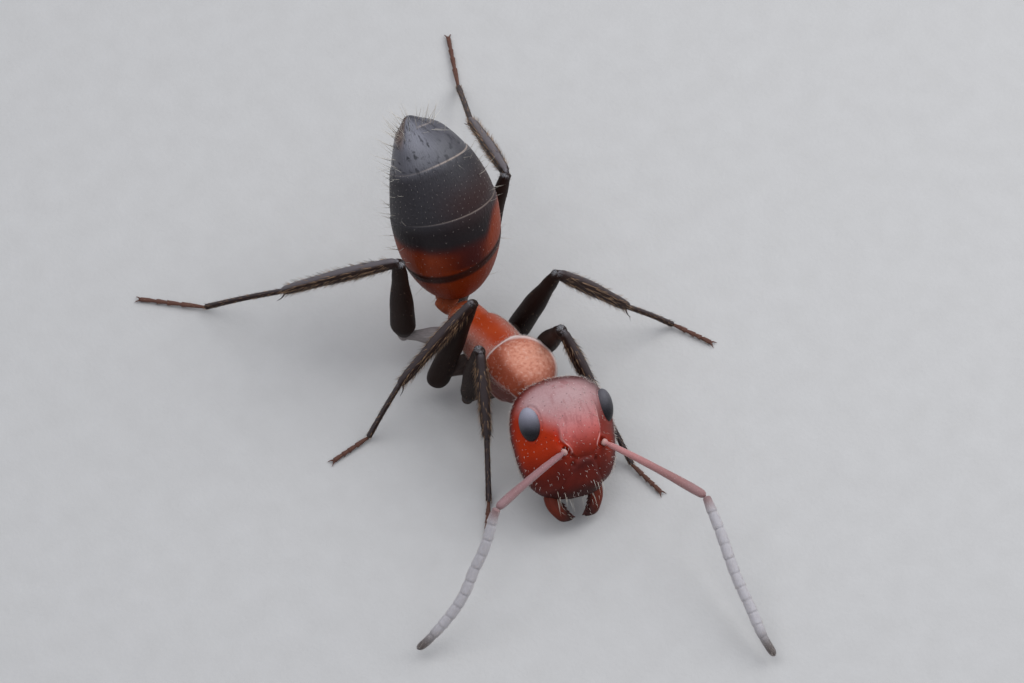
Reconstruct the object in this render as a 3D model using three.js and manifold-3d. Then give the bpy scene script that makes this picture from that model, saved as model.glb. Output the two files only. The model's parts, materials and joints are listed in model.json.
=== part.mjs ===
// Carpenter ant: a life-size worker standing on all six feet with its gaster raised and its head lowered.
// Millimetres, +Z up. The feet stand on z = 0, the thorax points along -Y and the ant's left side is +X.
// The origin lies on the ground under the middle of the box around the whole ant.
import * as THREE from "three";
import { mergeVertices } from "three/addons/utils/BufferGeometryUtils.js";
import Module from "manifold-3d";

const wasm = await Module();
wasm.setup();

// ---------- Driving dimensions ----------
const JOINT_GAP = 0.03; // clear space between neighbouring plates
const LIMB_RADIUS = 0.25; // the thinnest legs and feelers

// Thorax: its frame starts at the waist joint and looks along -Y.
const WAIST_JOINT = [0.26, 2.04, 1.29];
const THORAX_PITCH = 3; // degrees, nose up
const PRONOTUM = { centre: [0, -2.38, 0.18], radii: [0.79, 0.8, 0.62], power: 2.2 };
const PRONOTUM_LOBE = { side: 0.46, along: -2.33, up: -0.06, radii: [0.32, 0.4, 0.3] }; // each lower side
const MESOTHORAX = { centre: [0, -1.43, 0.06], radii: [0.6, 0.85, 0.58], power: 2.6 };
const PROPODEUM = { centre: [0, -0.7, 0.01], radii: [0.45, 0.68, 0.52], power: 2.4 };
const PETIOLE = { centre: [0, 0.24, -0.01], radii: [0.32, 0.18, 0.35], power: 3 };

// Head: its frame lies at the middle of the head, -Y towards the jaws and +Z out of the face.
const HEAD_WIDTH = 2.5;
const HEAD_LENGTH = 2.64;
const HEAD_THICKNESS = 1.56;
const HEAD_TAPER = 0.13; // share of the width lost at the mouth
const HEAD_PLACE = [-0.34, -4.28, 0.21]; // from the waist joint
const HEAD_POSE = { nod: 40, turn: -24, roll: 18 }; // degrees: jaws down, towards the right side, tilted
const EYE = { side: 0.95, back: 0.52, radii: [0.26, 0.39, 0.22], lean: 52, sunk: 0.02 };
const SOCKET = { side: 0.46, back: -0.22 };
const MANDIBLE = {
  length: 0.7, base: 0.4, thickness: 0.4, root: 0.2, teeth: 4, tooth: 0.02,
  side: 0.45, back: 0.24, drop: -0.04, open: 4,
};

// Feelers: places from the waist joint; the lash runs from the elbow past its middle to the tip.
const FEELERS = {
  left: { elbow: [0.99, -7.53, 0.49], middle: [0.54, -9.2, -0.34], tip: [0.2, -10.88, -1.02] },
  right: { elbow: [-3.07, -5.42, 1.33], middle: [-4.2, -5.95, 0.25], tip: [-5.7, -5.97, -1.02] },
};

// Gaster: its frame starts at the waist, +Y runs to the tip.
const GASTER_JOINT = [0.29, 0.28, 0.05]; // from the waist joint
const GASTER_POSE = { rise: 72.5, swing: -18.5, roll: 20 }; // degrees
const GASTER_LENGTH = 4.5;
const GASTER_WIDTH = 2.5;
const GASTER_HEIGHT = 2.4;
const GASTER_TAPER = 0.27; // share of the width lost towards the tip
const GASTER_DROOP = 0.85; // how far the tip bends towards the belly
const DROOP_POWER = 4.5; // the bend grows with this power of the share of the length
const PLATE_ENDS = [0, 0.3, 0.605, 0.84, 0.96, 1]; // shares of the length where the five plates end

// Legs: hip places from the waist joint (side, back to front, height over ground), segment lengths.
const LEG_PAIRS = {
  fore: {
    root: 2.1, coxa: 0.3, hip: { side: 0.95, along: 1.68, height: 0.57 },
    femur: 2.49, tibia: 2.28, metatarsus: 1.33, tarsus: 1,
  },
  middle: {
    root: 1.2, coxa: 0.25, hip: { side: 1.16, along: 0.92, height: 0.72 },
    femur: 2.74, tibia: 2.73, metatarsus: 1.42, tarsus: 1.04,
  },
  hind: {
    root: 0.5, coxa: 0.26, hip: { side: 1.12, along: -0.38, height: 0.85 },
    femur: 2.73, tibia: 3.33, metatarsus: 2.36, tarsus: 1.61,
  },
};
// Stance: heading of each segment in degrees forward of straight out, with knee and ankle heights.
const STANCE = {
  fore_left: { headings: [96.1, 77.3, 95.3, 86.3], knee: 2.81, ankle: 0.85 },
  fore_right: { headings: [86.5, 60.9, 53.7, 48.3], knee: 3.01, ankle: 0.92 },
  middle_left: { headings: [69.5, 17.1, 23.4, 67.2], knee: 3.3, ankle: 1.16 },
  middle_right: { headings: [154.4, -12.3, 0.8, -0.2], knee: 3.34, ankle: 1.31 },
  hind_left: {
    headings: [-21.7, -68.1, -59.9, -61], knee: 3.17, ankle: 1.47,
    hip: { side: 1.05, along: -0.6, height: 0.83 }, // this thigh is drawn back beside the gaster
  },
  hind_right: { headings: [-60, -51.5, -58.4, -47.9], knee: 3.579, ankle: 1.62 },
};
const THIGH_SWELL = 0.25; // share by which the thigh is thicker than the rest of the leg
const COXA_ROOT = { side: 0.34, up: -0.28 }; // where the coxae meet the thorax, from the waist joint
const ROUND_SHARE = 0.08; // share of a segment's length in which its end rounds off
const METATARSUS_END = 0.2; // height over ground
const TOE_HEIGHT = 0.11;

// ---------- Materials ----------
const shell = (color, roughness) => new THREE.MeshStandardMaterial({ color, roughness, metalness: 0 });
const RED_SHELL = shell(0x8f2415, 0.42);
const ORANGE_SHELL = shell(0xb04a1e, 0.45);
const DARK_SHELL = shell(0x1b1412, 0.4);
const LEG_SHELL = shell(0x1d1210, 0.5);
const EYE_GLASSY = shell(0x26272b, 0.3);
const FEELER_SHELL = shell(0x7d5a55, 0.5);

// ---------- Geometry helpers ----------
const { degToRad } = THREE.MathUtils;

// A closed solid of revolution along +Y: halfWidth(s) is its radius at the share s of the length.
function turnedBody(length, halfWidth, { sides = 20, rings = 14, from = 0, to = 1 } = {}) {
  const profile = [new THREE.Vector2(0, from * length)];
  for (let i = 0; i <= rings; i++) {
    const s = from + ((to - from) * (1 - Math.cos((Math.PI * i) / rings))) / 2;
    if (halfWidth(s) > 1e-6) profile.push(new THREE.Vector2(halfWidth(s), s * length));
  }
  profile.push(new THREE.Vector2(0, to * length));
  return new THREE.LatheGeometry(profile, sides);
}

// A superellipsoid: power 2 is an ellipsoid, higher powers are boxier.
function ovoid({ centre, radii, power = 2 }, across = 18, along = 12) {
  const geometry = new THREE.SphereGeometry(1, across, along);
  const place = geometry.getAttribute("position");
  const point = new THREE.Vector3();
  for (let i = 0; i < place.count; i++) {
    point.fromBufferAttribute(place, i);
    const sum = Math.abs(point.x) ** power + Math.abs(point.y) ** power + Math.abs(point.z) ** power;
    point.multiplyScalar(sum ** (-1 / power));
    place.setXYZ(i, point.x, point.y, point.z);
  }
  return geometry.scale(...radii).translate(...centre);
}

// Turns each triangle round, after a mirroring scale.
function flipFaces(geometry) {
  const place = geometry.getAttribute("position");
  const [a, b] = [new THREE.Vector3(), new THREE.Vector3()];
  for (let i = 0; i < place.count; i += 3) {
    a.fromBufferAttribute(place, i);
    b.fromBufferAttribute(place, i + 1);
    place.setXYZ(i, b.x, b.y, b.z);
    place.setXYZ(i + 1, a.x, a.y, a.z);
  }
}

// The merged, position-only copy of a geometry, which manifold-3d can read.
function bare(geometry) {
  const copy = geometry.clone();
  for (const name of Object.keys(copy.attributes)) {
    if (name !== "position") copy.deleteAttribute(name);
  }
  return mergeVertices(copy, 1e-4);
}

// The solid of a mesh in another object's frame, its surface moved out by the given distance.
function solidIn(mesh, frame, growth = 0) {
  mesh.updateWorldMatrix(true, false);
  frame.updateWorldMatrix(true, false);
  const toFrame = new THREE.Matrix4().copy(frame.matrixWorld).invert().multiply(mesh.matrixWorld);
  const geometry = bare(mesh.geometry).applyMatrix4(toFrame);
  geometry.computeVertexNormals();
  const place = geometry.getAttribute("position");
  const normal = geometry.getAttribute("normal");
  for (let i = 0; i < place.count; i++) {
    place.setXYZ(
      i,
      place.getX(i) + growth * normal.getX(i),
      place.getY(i) + growth * normal.getY(i),
      place.getZ(i) + growth * normal.getZ(i),
    );
  }
  const triVerts = new Uint32Array(geometry.index.array);
  return new wasm.Manifold(new wasm.Mesh({ numProp: 3, vertProperties: place.array, triVerts }));
}

// The largest connected body of a manifold solid as a three.js geometry.
function geometryOf(solid) {
  const bodies = solid.decompose().sort((a, b) => b.volume() - a.volume());
  const { vertProperties, triVerts } = bodies[0].getMesh();
  const geometry = new THREE.BufferGeometry();
  geometry.setAttribute("position", new THREE.BufferAttribute(new Float32Array(vertProperties), 3));
  geometry.setIndex(new THREE.BufferAttribute(new Uint32Array(triVerts), 1));
  const flat = geometry.toNonIndexed();
  flat.computeVertexNormals();
  return flat;
}

// Cuts the neighbours, grown by the joint gap, out of a mesh.
function trim(mesh, neighbours, gap = JOINT_GAP) {
  let solid = solidIn(mesh, mesh);
  for (const neighbour of neighbours) solid = solid.subtract(solidIn(neighbour, mesh, gap));
  mesh.geometry = geometryOf(solid);
  return mesh;
}

// Melts further bodies, given in the mesh's own frame, into a mesh.
function join(mesh, bodies) {
  let solid = solidIn(mesh, mesh);
  for (const body of bodies.map((geometry) => new THREE.Mesh(geometry))) solid = solid.add(solidIn(body, body));
  mesh.geometry = geometryOf(solid);
  return mesh;
}

function part(name, geometry, material, parent) {
  const mesh = new THREE.Mesh(geometry, material);
  mesh.name = name;
  parent.add(mesh);
  return mesh;
}

function frameAt(parent, place, { x = 0, y = 0, z = 0 } = {}) {
  const frame = new THREE.Group();
  frame.position.set(...place);
  frame.rotation.set(degToRad(x), degToRad(y), degToRad(z), "ZXY");
  parent.add(frame);
  return frame;
}

const ant = new THREE.Group();
const waist = frameAt(ant, WAIST_JOINT);

// ---------- Thorax and waist ----------
const thorax = frameAt(waist, [0, 0, 0], { x: -THORAX_PITCH });
const pronotumLobe = (sign) => {
  const centre = [sign * PRONOTUM_LOBE.side, PRONOTUM_LOBE.along, PRONOTUM_LOBE.up];
  return ovoid({ centre, radii: PRONOTUM_LOBE.radii }, 12, 8);
};
const pronotum = join(
  part("pronotum", ovoid(PRONOTUM), ORANGE_SHELL, thorax),
  [pronotumLobe(1), pronotumLobe(-1)],
);
const mesothorax = trim(part("mesothorax", ovoid(MESOTHORAX), ORANGE_SHELL, thorax), [pronotum]);
const propodeum = trim(part("propodeum", ovoid(PROPODEUM), ORANGE_SHELL, thorax), [mesothorax, pronotum]);
const petiole = part("petiole", ovoid(PETIOLE, 12, 8), ORANGE_SHELL, thorax);

// ---------- Head ----------
const head = frameAt(waist, HEAD_PLACE, { x: HEAD_POSE.nod, y: HEAD_POSE.roll, z: HEAD_POSE.turn });

// Half width of the head seen in full face: round behind, squarer at the mouth.
function headHalfWidth(s) {
  const power = s < 0.5 ? 2.6 : 3;
  const round = (1 - Math.abs(2 * s - 1) ** power) ** (1 / power);
  return (HEAD_WIDTH / 2) * round * (1 - HEAD_TAPER * s * s);
}

// The surface height of the face over the head's middle plane.
function faceHeight(side, back) {
  const half = headHalfWidth(0.5 - back / HEAD_LENGTH);
  return (HEAD_THICKNESS / HEAD_WIDTH) * Math.sqrt(Math.max(half * half - side * side, 0));
}

const capsule = turnedBody(HEAD_LENGTH, (s) => headHalfWidth(1 - s), { sides: 24, rings: 16 });
capsule.translate(0, -HEAD_LENGTH / 2, 0).scale(1, 1, HEAD_THICKNESS / HEAD_WIDTH);
const headShell = part("head", capsule, RED_SHELL, head);

function addEye(name, sign) {
  const bulge = ovoid({ centre: [0, 0, 0], radii: EYE.radii }, 14, 10);
  bulge.rotateY(degToRad(-sign * EYE.lean));
  bulge.translate(sign * EYE.side, EYE.back, faceHeight(EYE.side, EYE.back) - EYE.sunk);
  return trim(part(name, bulge, EYE_GLASSY, head), [headShell]);
}

// One jaw in the plane of the face: a broad base, a curved outer edge and a toothed inner edge.
function addMandible(name, sign) {
  const { length, base, thickness, root, teeth, tooth } = MANDIBLE;
  const outline = new THREE.Shape();
  outline.moveTo(-base / 2, root);
  outline.lineTo(base / 2, root);
  outline.quadraticCurveTo(base * 0.9, -length, -base * 0.8, -length);
  for (let i = 0; i < teeth; i++) {
    const share = (i + 1) / teeth;
    const step = length * (1 - 0.55 * share);
    outline.lineTo(-base * 0.45, -step - tooth);
    outline.lineTo(-base * 0.75, -step + tooth);
  }
  const jaw = new THREE.ExtrudeGeometry(outline, { depth: thickness, bevelEnabled: false, curveSegments: 5 });
  jaw.translate(0, 0, -thickness / 2).rotateZ(degToRad(MANDIBLE.open)).scale(sign, 1, 1);
  if (sign < 0) flipFaces(jaw);
  jaw.translate(sign * MANDIBLE.side, -HEAD_LENGTH / 2 + MANDIBLE.back, MANDIBLE.drop);
  return trim(part(name, jaw, RED_SHELL, head), [headShell]);
}

addEye("eye_left", 1);
addEye("eye_right", -1);
addMandible("mandible_left", 1);
addMandible("mandible_right", -1);

// ---------- Feelers ----------
// A tube of constant round section along a curve, with flat ends.
function tube(curve, radius, sides, steps) {
  const section = new THREE.Shape();
  for (let i = 0; i < sides; i++) {
    const angle = (2 * Math.PI * i) / sides;
    section.lineTo(radius * Math.cos(angle), radius * Math.sin(angle));
  }
  return new THREE.ExtrudeGeometry(section, { steps, extrudePath: curve, bevelEnabled: false });
}

// The first long joint runs from the face to the elbow, the lash from the elbow to the tip.
function addFeeler(side, sign) {
  const socket = new THREE.Vector3(sign * SOCKET.side, SOCKET.back, faceHeight(SOCKET.side, SOCKET.back));
  waist.worldToLocal(head.localToWorld(socket));
  const { elbow, middle, tip } = FEELERS[side];
  const points = [elbow, middle, tip].map((place) => new THREE.Vector3(...place));
  const first = new THREE.LineCurve3(socket, points[0]);
  const scape = part(`scape_${side}`, tube(first, LIMB_RADIUS, 10, 1), FEELER_SHELL, waist);
  trim(scape, [headShell]);
  const lash = tube(new THREE.CatmullRomCurve3(points), LIMB_RADIUS, 10, 10);
  trim(part(`lash_${side}`, lash, FEELER_SHELL, waist), [scape]);
}
waist.updateWorldMatrix(true, true);
addFeeler("left", 1);
addFeeler("right", -1);

// ---------- Gaster ----------
const gaster = frameAt(waist, GASTER_JOINT, { x: GASTER_POSE.rise, y: GASTER_POSE.roll, z: GASTER_POSE.swing });

function gasterHalfWidth(s) {
  const oval = Math.sqrt(Math.max(1 - (2 * s - 1) ** 2, 0));
  return (GASTER_WIDTH / 2) * oval * (1 - GASTER_TAPER * s ** 4);
}

// Bends the far end of a plate towards the belly.
function droop(plate) {
  const place = plate.getAttribute("position");
  for (let i = 0; i < place.count; i++) {
    const s = place.getY(i) / GASTER_LENGTH;
    place.setZ(i, place.getZ(i) - GASTER_DROOP * s ** DROOP_POWER);
  }
}

for (let i = 1; i < PLATE_ENDS.length; i++) {
  const reach = {
    sides: 18,
    rings: 5,
    from: PLATE_ENDS[i - 1] + (i > 1 ? JOINT_GAP / GASTER_LENGTH : 0),
    to: PLATE_ENDS[i],
  };
  const plate = turnedBody(GASTER_LENGTH, gasterHalfWidth, reach).scale(1, 1, GASTER_HEIGHT / GASTER_WIDTH);
  droop(plate);
  part(`gaster_${i}`, plate, i < 3 ? ORANGE_SHELL : DARK_SHELL, gaster);
}
const firstPlate = ant.getObjectByName("gaster_1");
trim(propodeum, [firstPlate]);
trim(petiole, [propodeum, firstPlate]);

// ---------- Legs ----------
// The half widths of the segments along their length: the thigh swells near the hip, the rest are even.
const thighHalfWidth = (s) => LIMB_RADIUS * (1 + THIGH_SWELL * Math.sin(Math.PI * s ** 0.6)) * roundEnds(s);
const plainHalfWidth = (s) => LIMB_RADIUS * roundEnds(s);

// Rises from nothing to one within a short share of each end.
function roundEnds(s) {
  const inside = Math.min(s, 1 - s, ROUND_SHARE) / ROUND_SHARE;
  return Math.sqrt(Math.max(1 - (1 - inside) ** 2, 0));
}

// A limb segment between two places of the ant's own frame.
function addSegment(name, from, to, halfWidth, shape) {
  const way = new THREE.Vector3().subVectors(to, from);
  const mesh = part(name, turnedBody(way.length(), halfWidth, shape), LEG_SHELL, ant);
  mesh.position.copy(from);
  mesh.quaternion.setFromUnitVectors(new THREE.Vector3(0, 1, 0), way.normalize());
  return mesh;
}

// The far end of a segment of the given length and heading that ends at the given height.
function reachTo(from, length, heading, height, sign) {
  const drop = height - from.z;
  const ground = Math.sqrt(length * length - drop * drop);
  const angle = degToRad(heading);
  return new THREE.Vector3(
    from.x + sign * ground * Math.cos(angle),
    from.y - ground * Math.sin(angle),
    height,
  );
}

// Everything under the ground plane, which cuts the flats of the feet.
const underground = new THREE.Mesh(new THREE.BoxGeometry(60, 60, 10).translate(0, 0, -5));

function addLeg(pair, side, sign) {
  const size = LEG_PAIRS[pair];
  const { headings, knee: kneeHeight, ankle: ankleHeight, hip: hipSpot = size.hip } = STANCE[`${pair}_${side}`];
  const [waistX, waistY, waistZ] = WAIST_JOINT;
  const root = new THREE.Vector3(waistX + sign * COXA_ROOT.side, waistY - size.root, waistZ + COXA_ROOT.up);
  const hip = new THREE.Vector3(waistX + sign * hipSpot.side, waistY - hipSpot.along, hipSpot.height);
  const knee = reachTo(hip, size.femur, headings[0], kneeHeight, sign);
  const ankle = reachTo(knee, size.tibia, headings[1], ankleHeight, sign);
  const heel = reachTo(ankle, size.metatarsus, headings[2], METATARSUS_END, sign);
  const toe = reachTo(heel, size.tarsus, headings[3], TOE_HEIGHT, sign);

  const trunk = [pronotum, mesothorax, propodeum];
  const coxaHalfWidth = (s) => size.coxa * roundEnds(s);
  const coxa = addSegment(`coxa_${pair}_${side}`, root, hip, coxaHalfWidth, { sides: 10, rings: 7 });
  trim(coxa, trunk);
  const femur = addSegment(`femur_${pair}_${side}`, hip, knee, thighHalfWidth, { sides: 10, rings: 7 });
  trim(femur, [coxa, ...trunk]);
  const tibia = addSegment(`tibia_${pair}_${side}`, knee, ankle, plainHalfWidth, { sides: 8, rings: 5 });
  trim(tibia, [femur]);
  const metatarsus = addSegment(`metatarsus_${pair}_${side}`, ankle, heel, plainHalfWidth, { sides: 8, rings: 5 });
  trim(trim(metatarsus, [tibia]), [underground], 0);
  const tarsus = addSegment(`tarsus_${pair}_${side}`, heel, toe, plainHalfWidth, { sides: 8, rings: 5 });
  trim(trim(tarsus, [metatarsus]), [underground], 0);
}

for (const pair of Object.keys(LEG_PAIRS)) {
  addLeg(pair, "left", 1);
  addLeg(pair, "right", -1);
}

export default ant;
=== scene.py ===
# %% [markdown]
# # A carpenter ant, at life size
# This lesson dresses the plain solids of a carpenter ant as a museum model. A real ant wears its skeleton
# outside: the body is a set of hard plates that meet in soft joints, and almost every plate carries hairs.
# So each plate is its own mesh, shaped by a rule rather than pushed by hand, and the hairs are grown on it
# afterwards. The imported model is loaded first, because every place and every size follows from it.

import json
import math

import bmesh
import bpy
import numpy as np
from mathutils import Matrix, Vector

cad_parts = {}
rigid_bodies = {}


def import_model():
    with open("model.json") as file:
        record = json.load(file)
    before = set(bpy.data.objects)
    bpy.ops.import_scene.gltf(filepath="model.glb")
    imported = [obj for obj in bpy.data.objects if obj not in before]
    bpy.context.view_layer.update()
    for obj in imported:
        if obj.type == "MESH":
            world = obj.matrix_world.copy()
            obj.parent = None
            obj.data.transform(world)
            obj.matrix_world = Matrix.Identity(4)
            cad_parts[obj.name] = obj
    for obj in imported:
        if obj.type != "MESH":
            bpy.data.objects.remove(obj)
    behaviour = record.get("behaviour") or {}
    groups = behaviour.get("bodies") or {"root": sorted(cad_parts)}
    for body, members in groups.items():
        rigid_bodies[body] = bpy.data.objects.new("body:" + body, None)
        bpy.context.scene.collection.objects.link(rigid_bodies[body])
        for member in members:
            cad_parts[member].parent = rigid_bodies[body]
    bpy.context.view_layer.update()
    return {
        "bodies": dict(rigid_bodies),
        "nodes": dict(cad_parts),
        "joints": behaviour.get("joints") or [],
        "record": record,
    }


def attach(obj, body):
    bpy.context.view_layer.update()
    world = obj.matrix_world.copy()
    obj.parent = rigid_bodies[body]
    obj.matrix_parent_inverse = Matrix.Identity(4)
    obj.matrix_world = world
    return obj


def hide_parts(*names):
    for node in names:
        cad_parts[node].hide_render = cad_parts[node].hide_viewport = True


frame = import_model()

# %% [markdown]
# ## Camera
# A long lens far away flattens the view and bends no lines. The camera looks steeply down on the ant's face
# from a little to its right. It comes first, so that every later step can be judged through it.

# %% Camera
MM = 0.001  # the ant is worked out in millimetres and brought to metres at the end
LENS = 228.5  # focal length in millimetres
VIEW_TURN, VIEW_RISE, VIEW_DISTANCE = -38.4, 55.0, 144.4  # degrees round the ant and over the floor
AIM = Vector((1.275, 1.264, 0.0))  # the place on the floor that the camera looks at


def towards(turn, rise):
    """The direction to a place seen at this turn round the ant and this height over the floor, in degrees."""
    turn, rise = math.radians(turn), math.radians(rise)
    return Vector((math.sin(turn) * math.cos(rise), -math.cos(turn) * math.cos(rise), math.sin(rise)))


def look(thing, place, aim):
    """Puts a camera or a lamp at a place in millimetres, facing the aim."""
    thing.location = place * MM
    thing.rotation_euler = (aim - place).to_track_quat("-Z", "Y").to_euler()
    bpy.context.scene.collection.objects.link(thing)


camera = bpy.data.objects.new("camera", bpy.data.cameras.new("camera"))
camera.data.lens = LENS
camera.data.clip_start, camera.data.clip_end = 0.01, 10
look(camera, AIM + VIEW_DISTANCE * towards(VIEW_TURN, VIEW_RISE), AIM)
bpy.context.scene.camera = camera
print("camera", round(VIEW_DISTANCE), "mm away")

# %% [markdown]
# ## Light
# An ant's shell is dark and glossy, so it is drawn by what it mirrors. A sky that is bright overhead and
# dark at the horizon keeps the sides deep in colour, and two wide lamps lay a broad pale gleam over the
# crown of the head and the tip of the gaster, where the finishes also paint a pale sheen into the colour.
# Harder and smaller lamps would give bright dots, which read as plastic.

# %% Studio light
SKY = ((0.05, (0.16, 0.16, 0.17, 1)), (0.85, (0.8, 0.86, 1.0, 1)))  # height over the horizon and colour
SKY_STRENGTH = 0.8
scene = bpy.context.scene
scene.view_settings.view_transform = "Standard"
world = bpy.data.worlds.new("studio")
world.use_nodes = True
sky = world.node_tree
backdrop = sky.nodes["Background"]
heights = sky.nodes.new("ShaderNodeSeparateXYZ")
ramp = sky.nodes.new("ShaderNodeValToRGB")
for stop, (height, tone) in zip(ramp.color_ramp.elements, SKY):
    stop.position, stop.color = height, tone
sky.links.new(sky.nodes.new("ShaderNodeTexCoord").outputs["Generated"], heights.inputs[0])
sky.links.new(heights.outputs[2], ramp.inputs[0])
sky.links.new(ramp.outputs[0], backdrop.inputs["Color"])
backdrop.inputs["Strength"].default_value = SKY_STRENGTH
scene.world = world

LAMPS = {  # turn, rise, distance and size in millimetres, brightness, colour
    "window": (76, 46, 70, 66, 2.4, (0.93, 0.96, 1.0)),
    "overhead": (-140, 74, 70, 60, 1.5, (0.95, 0.97, 1.0)),
}
for name, (turn, rise, distance, size, brightness, colour) in LAMPS.items():
    lamp = bpy.data.objects.new(name, bpy.data.lights.new(name, "AREA"))
    lamp.data.shape = "DISK"
    lamp.data.size = size * MM
    lamp.data.energy = brightness * math.pi * math.pi * (size * MM / 2) ** 2
    lamp.data.color = colour
    look(lamp, distance * towards(turn, rise), Vector((0, 0, 1)))
print(len(LAMPS), "lamps and a graded sky")

# %% [markdown]
# ## Finishes
# A finish is a node material. Its sums are written as Python: the class below wraps a value on its way
# through the nodes, and each operator adds a Math node. Every plate carries an attribute named "place", its
# own coordinates in millimetres, so a marking stays with the plate, and the hairs on it can read the same
# marking.


# %% Node sums
class Value:
    """A value on its way through a material. Arithmetic on it adds Math nodes."""

    def __init__(self, tree, socket):
        self.tree, self.socket = tree, socket

    def sum(self, operation, *values):
        node = self.tree.nodes.new("ShaderNodeMath")
        node.operation = operation
        for socket, value in zip(node.inputs, values):
            plug(self.tree, socket, value)
        return Value(self.tree, node.outputs[0])

    def __add__(self, other):
        return self.sum("ADD", self, other)

    def __sub__(self, other):
        return self.sum("SUBTRACT", self, other)

    def __rsub__(self, other):
        return self.sum("SUBTRACT", other, self)

    def __mul__(self, other):
        return self.sum("MULTIPLY", self, other)

    def __pow__(self, other):
        return self.sum("POWER", self, other)

    def size(self):
        return self.sum("ABSOLUTE", self)

    __radd__, __rmul__ = __add__, __mul__


def plug(tree, socket, value):
    """Links a value to a socket, or sets the socket to a plain number, colour or vector."""
    if isinstance(value, Value):
        tree.links.new(value.socket, socket)
    elif isinstance(value, tuple) and len(value) == 3 and socket.type == "RGBA":
        socket.default_value = (*value, 1)
    else:
        socket.default_value = value


class Finish:
    """A Principled material. Keywords set what is the same all over, such as Sheen_Weight=0.2."""

    def __init__(self, name, **fixed):
        self.material = bpy.data.materials.new(name)
        self.material.use_nodes = True
        self.tree = self.material.node_tree
        self.shader = self.tree.nodes["Principled BSDF"]
        self.set(**fixed)
        self.place = self.node("Attribute", {"attribute_name": "place"}, output="Vector")

    def set(self, **values):
        for name, value in values.items():
            plug(self.tree, self.shader.inputs[name.replace("_", " ")], value)

    def node(self, kind, settings=None, output=0, **values):
        node = self.tree.nodes.new("ShaderNode" + kind)
        for name, value in (settings or {}).items():
            setattr(node, name, value)
        for name, value in values.items():
            plug(self.tree, node.inputs[name.replace("_", " ")], value)
        return Value(self.tree, node.outputs[output])

    def split(self):
        """The three coordinates of the place."""
        node = self.tree.nodes.new("ShaderNodeSeparateXYZ")
        plug(self.tree, node.inputs[0], self.place)
        return [Value(self.tree, socket) for socket in node.outputs]

    def step(self, value, low, high):
        """Rises smoothly from nothing to one between low and high, or falls where low is the larger."""
        settings = {"interpolation_type": "SMOOTHSTEP"}
        if low > high:
            return 1 - self.node("MapRange", settings, Value=value, From_Min=high, From_Max=low)
        return self.node("MapRange", settings, Value=value, From_Min=low, From_Max=high)

    def bell(self, value, centre, width):
        """One at the centre, falling to nothing over the width at both sides."""
        return self.step((value - centre).size(), width, 0.0)

    def noise(self, scale, detail=2.0, stretch=(1, 1, 1)):
        """Cloudy noise from nothing to one, with this many clouds to the millimetre."""
        where = self.node("Mapping", Vector=self.place, Scale=stretch)
        return self.node("TexNoise", Vector=where, Scale=scale, Detail=detail)

    def cells(self, scale):
        """The distance to the nearest of scattered points, with this many to the millimetre."""
        return self.node("TexVoronoi", Vector=self.place, Scale=scale)

    def mix(self, share, first, second):
        node = self.tree.nodes.new("ShaderNodeMix")
        node.data_type = "RGBA"
        for socket, value in zip((node.inputs[0], node.inputs[6], node.inputs[7]), (share, first, second)):
            plug(self.tree, socket, value)
        return Value(self.tree, node.outputs[2])

    def paint(self, tone, *layers):
        """Lays layers over a tone in turn, each a mask and the colour that shows where it is one."""
        for share, colour in layers:
            tone = self.mix(share, tone, colour)
        return tone

    def bump(self, height, depth):
        """Turns a height from nothing to one into relief of this depth in millimetres."""
        self.set(Normal=self.node("Bump", Height=height, Distance=depth * MM, Strength=1.0))


print("sums and finishes ready")

# %% [markdown]
# ## Floor
# The floor is a plain pale sheet with a faint grain, big enough to reach past every view. It isn't part of
# the ant.


# %% Floor
def numbers(items, key):
    """All values of a vector property, one row for each item."""
    values = np.empty(len(items) * 3)
    items.foreach_get(key, values)
    return values.reshape(-1, 3)


def keep(mesh, name, vectors):
    """Stores a vector at each point of a mesh."""
    mesh.attributes.new(name, "FLOAT_VECTOR", "POINT").data.foreach_set("vector", vectors.ravel())


def show(name, mesh):
    """A new object in the scene with this mesh."""
    thing = bpy.data.objects.new(name, mesh)
    scene.collection.objects.link(thing)
    return thing


FLOOR_REACH, FLOOR_LINES = 0.4, 9  # metres from the middle, and lines of corners each way
floor_finish = Finish("floor", Roughness=0.85)
floor_grain = floor_finish.noise(1.6, 6.0)
floor_finish.set(Base_Color=floor_finish.mix(floor_grain, (0.5, 0.48, 0.45), (0.56, 0.54, 0.51)))
floor_finish.bump(floor_finish.noise(9.0, 4.0), 0.01)
floor_mesh = bpy.data.meshes.new("floor")
lines = np.linspace(-FLOOR_REACH, FLOOR_REACH, FLOOR_LINES)
starts = [row * FLOOR_LINES + side for row in range(FLOOR_LINES - 1) for side in range(FLOOR_LINES - 1)]
corners = (0, 1, FLOOR_LINES + 1, FLOOR_LINES)
floor_mesh.from_pydata(
    [(x, y, 0.0) for y in lines for x in lines],
    [],
    [[start + corner for corner in corners] for start in starts],
)
keep(floor_mesh, "place", numbers(floor_mesh.vertices, "co") / MM)
floor_mesh.materials.append(floor_finish.material)
floor = show("floor", floor_mesh)
print("floor", 2 * FLOOR_REACH, "m wide")

# %% [markdown]
# ## Frames
# An ant's parts tilt and turn against each other. Each gets a frame: an origin and three axes. A shape is
# written down once in its own simple frame, with its length along Y and its back or face up along Z, and
# then placed.

# %% Frames
WAIST = np.array((0.26, 2.04, 1.29))  # where the gaster's stalk begins
OUT = {"left": 1, "right": -1}  # the way out along X on each side of the ant


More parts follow.
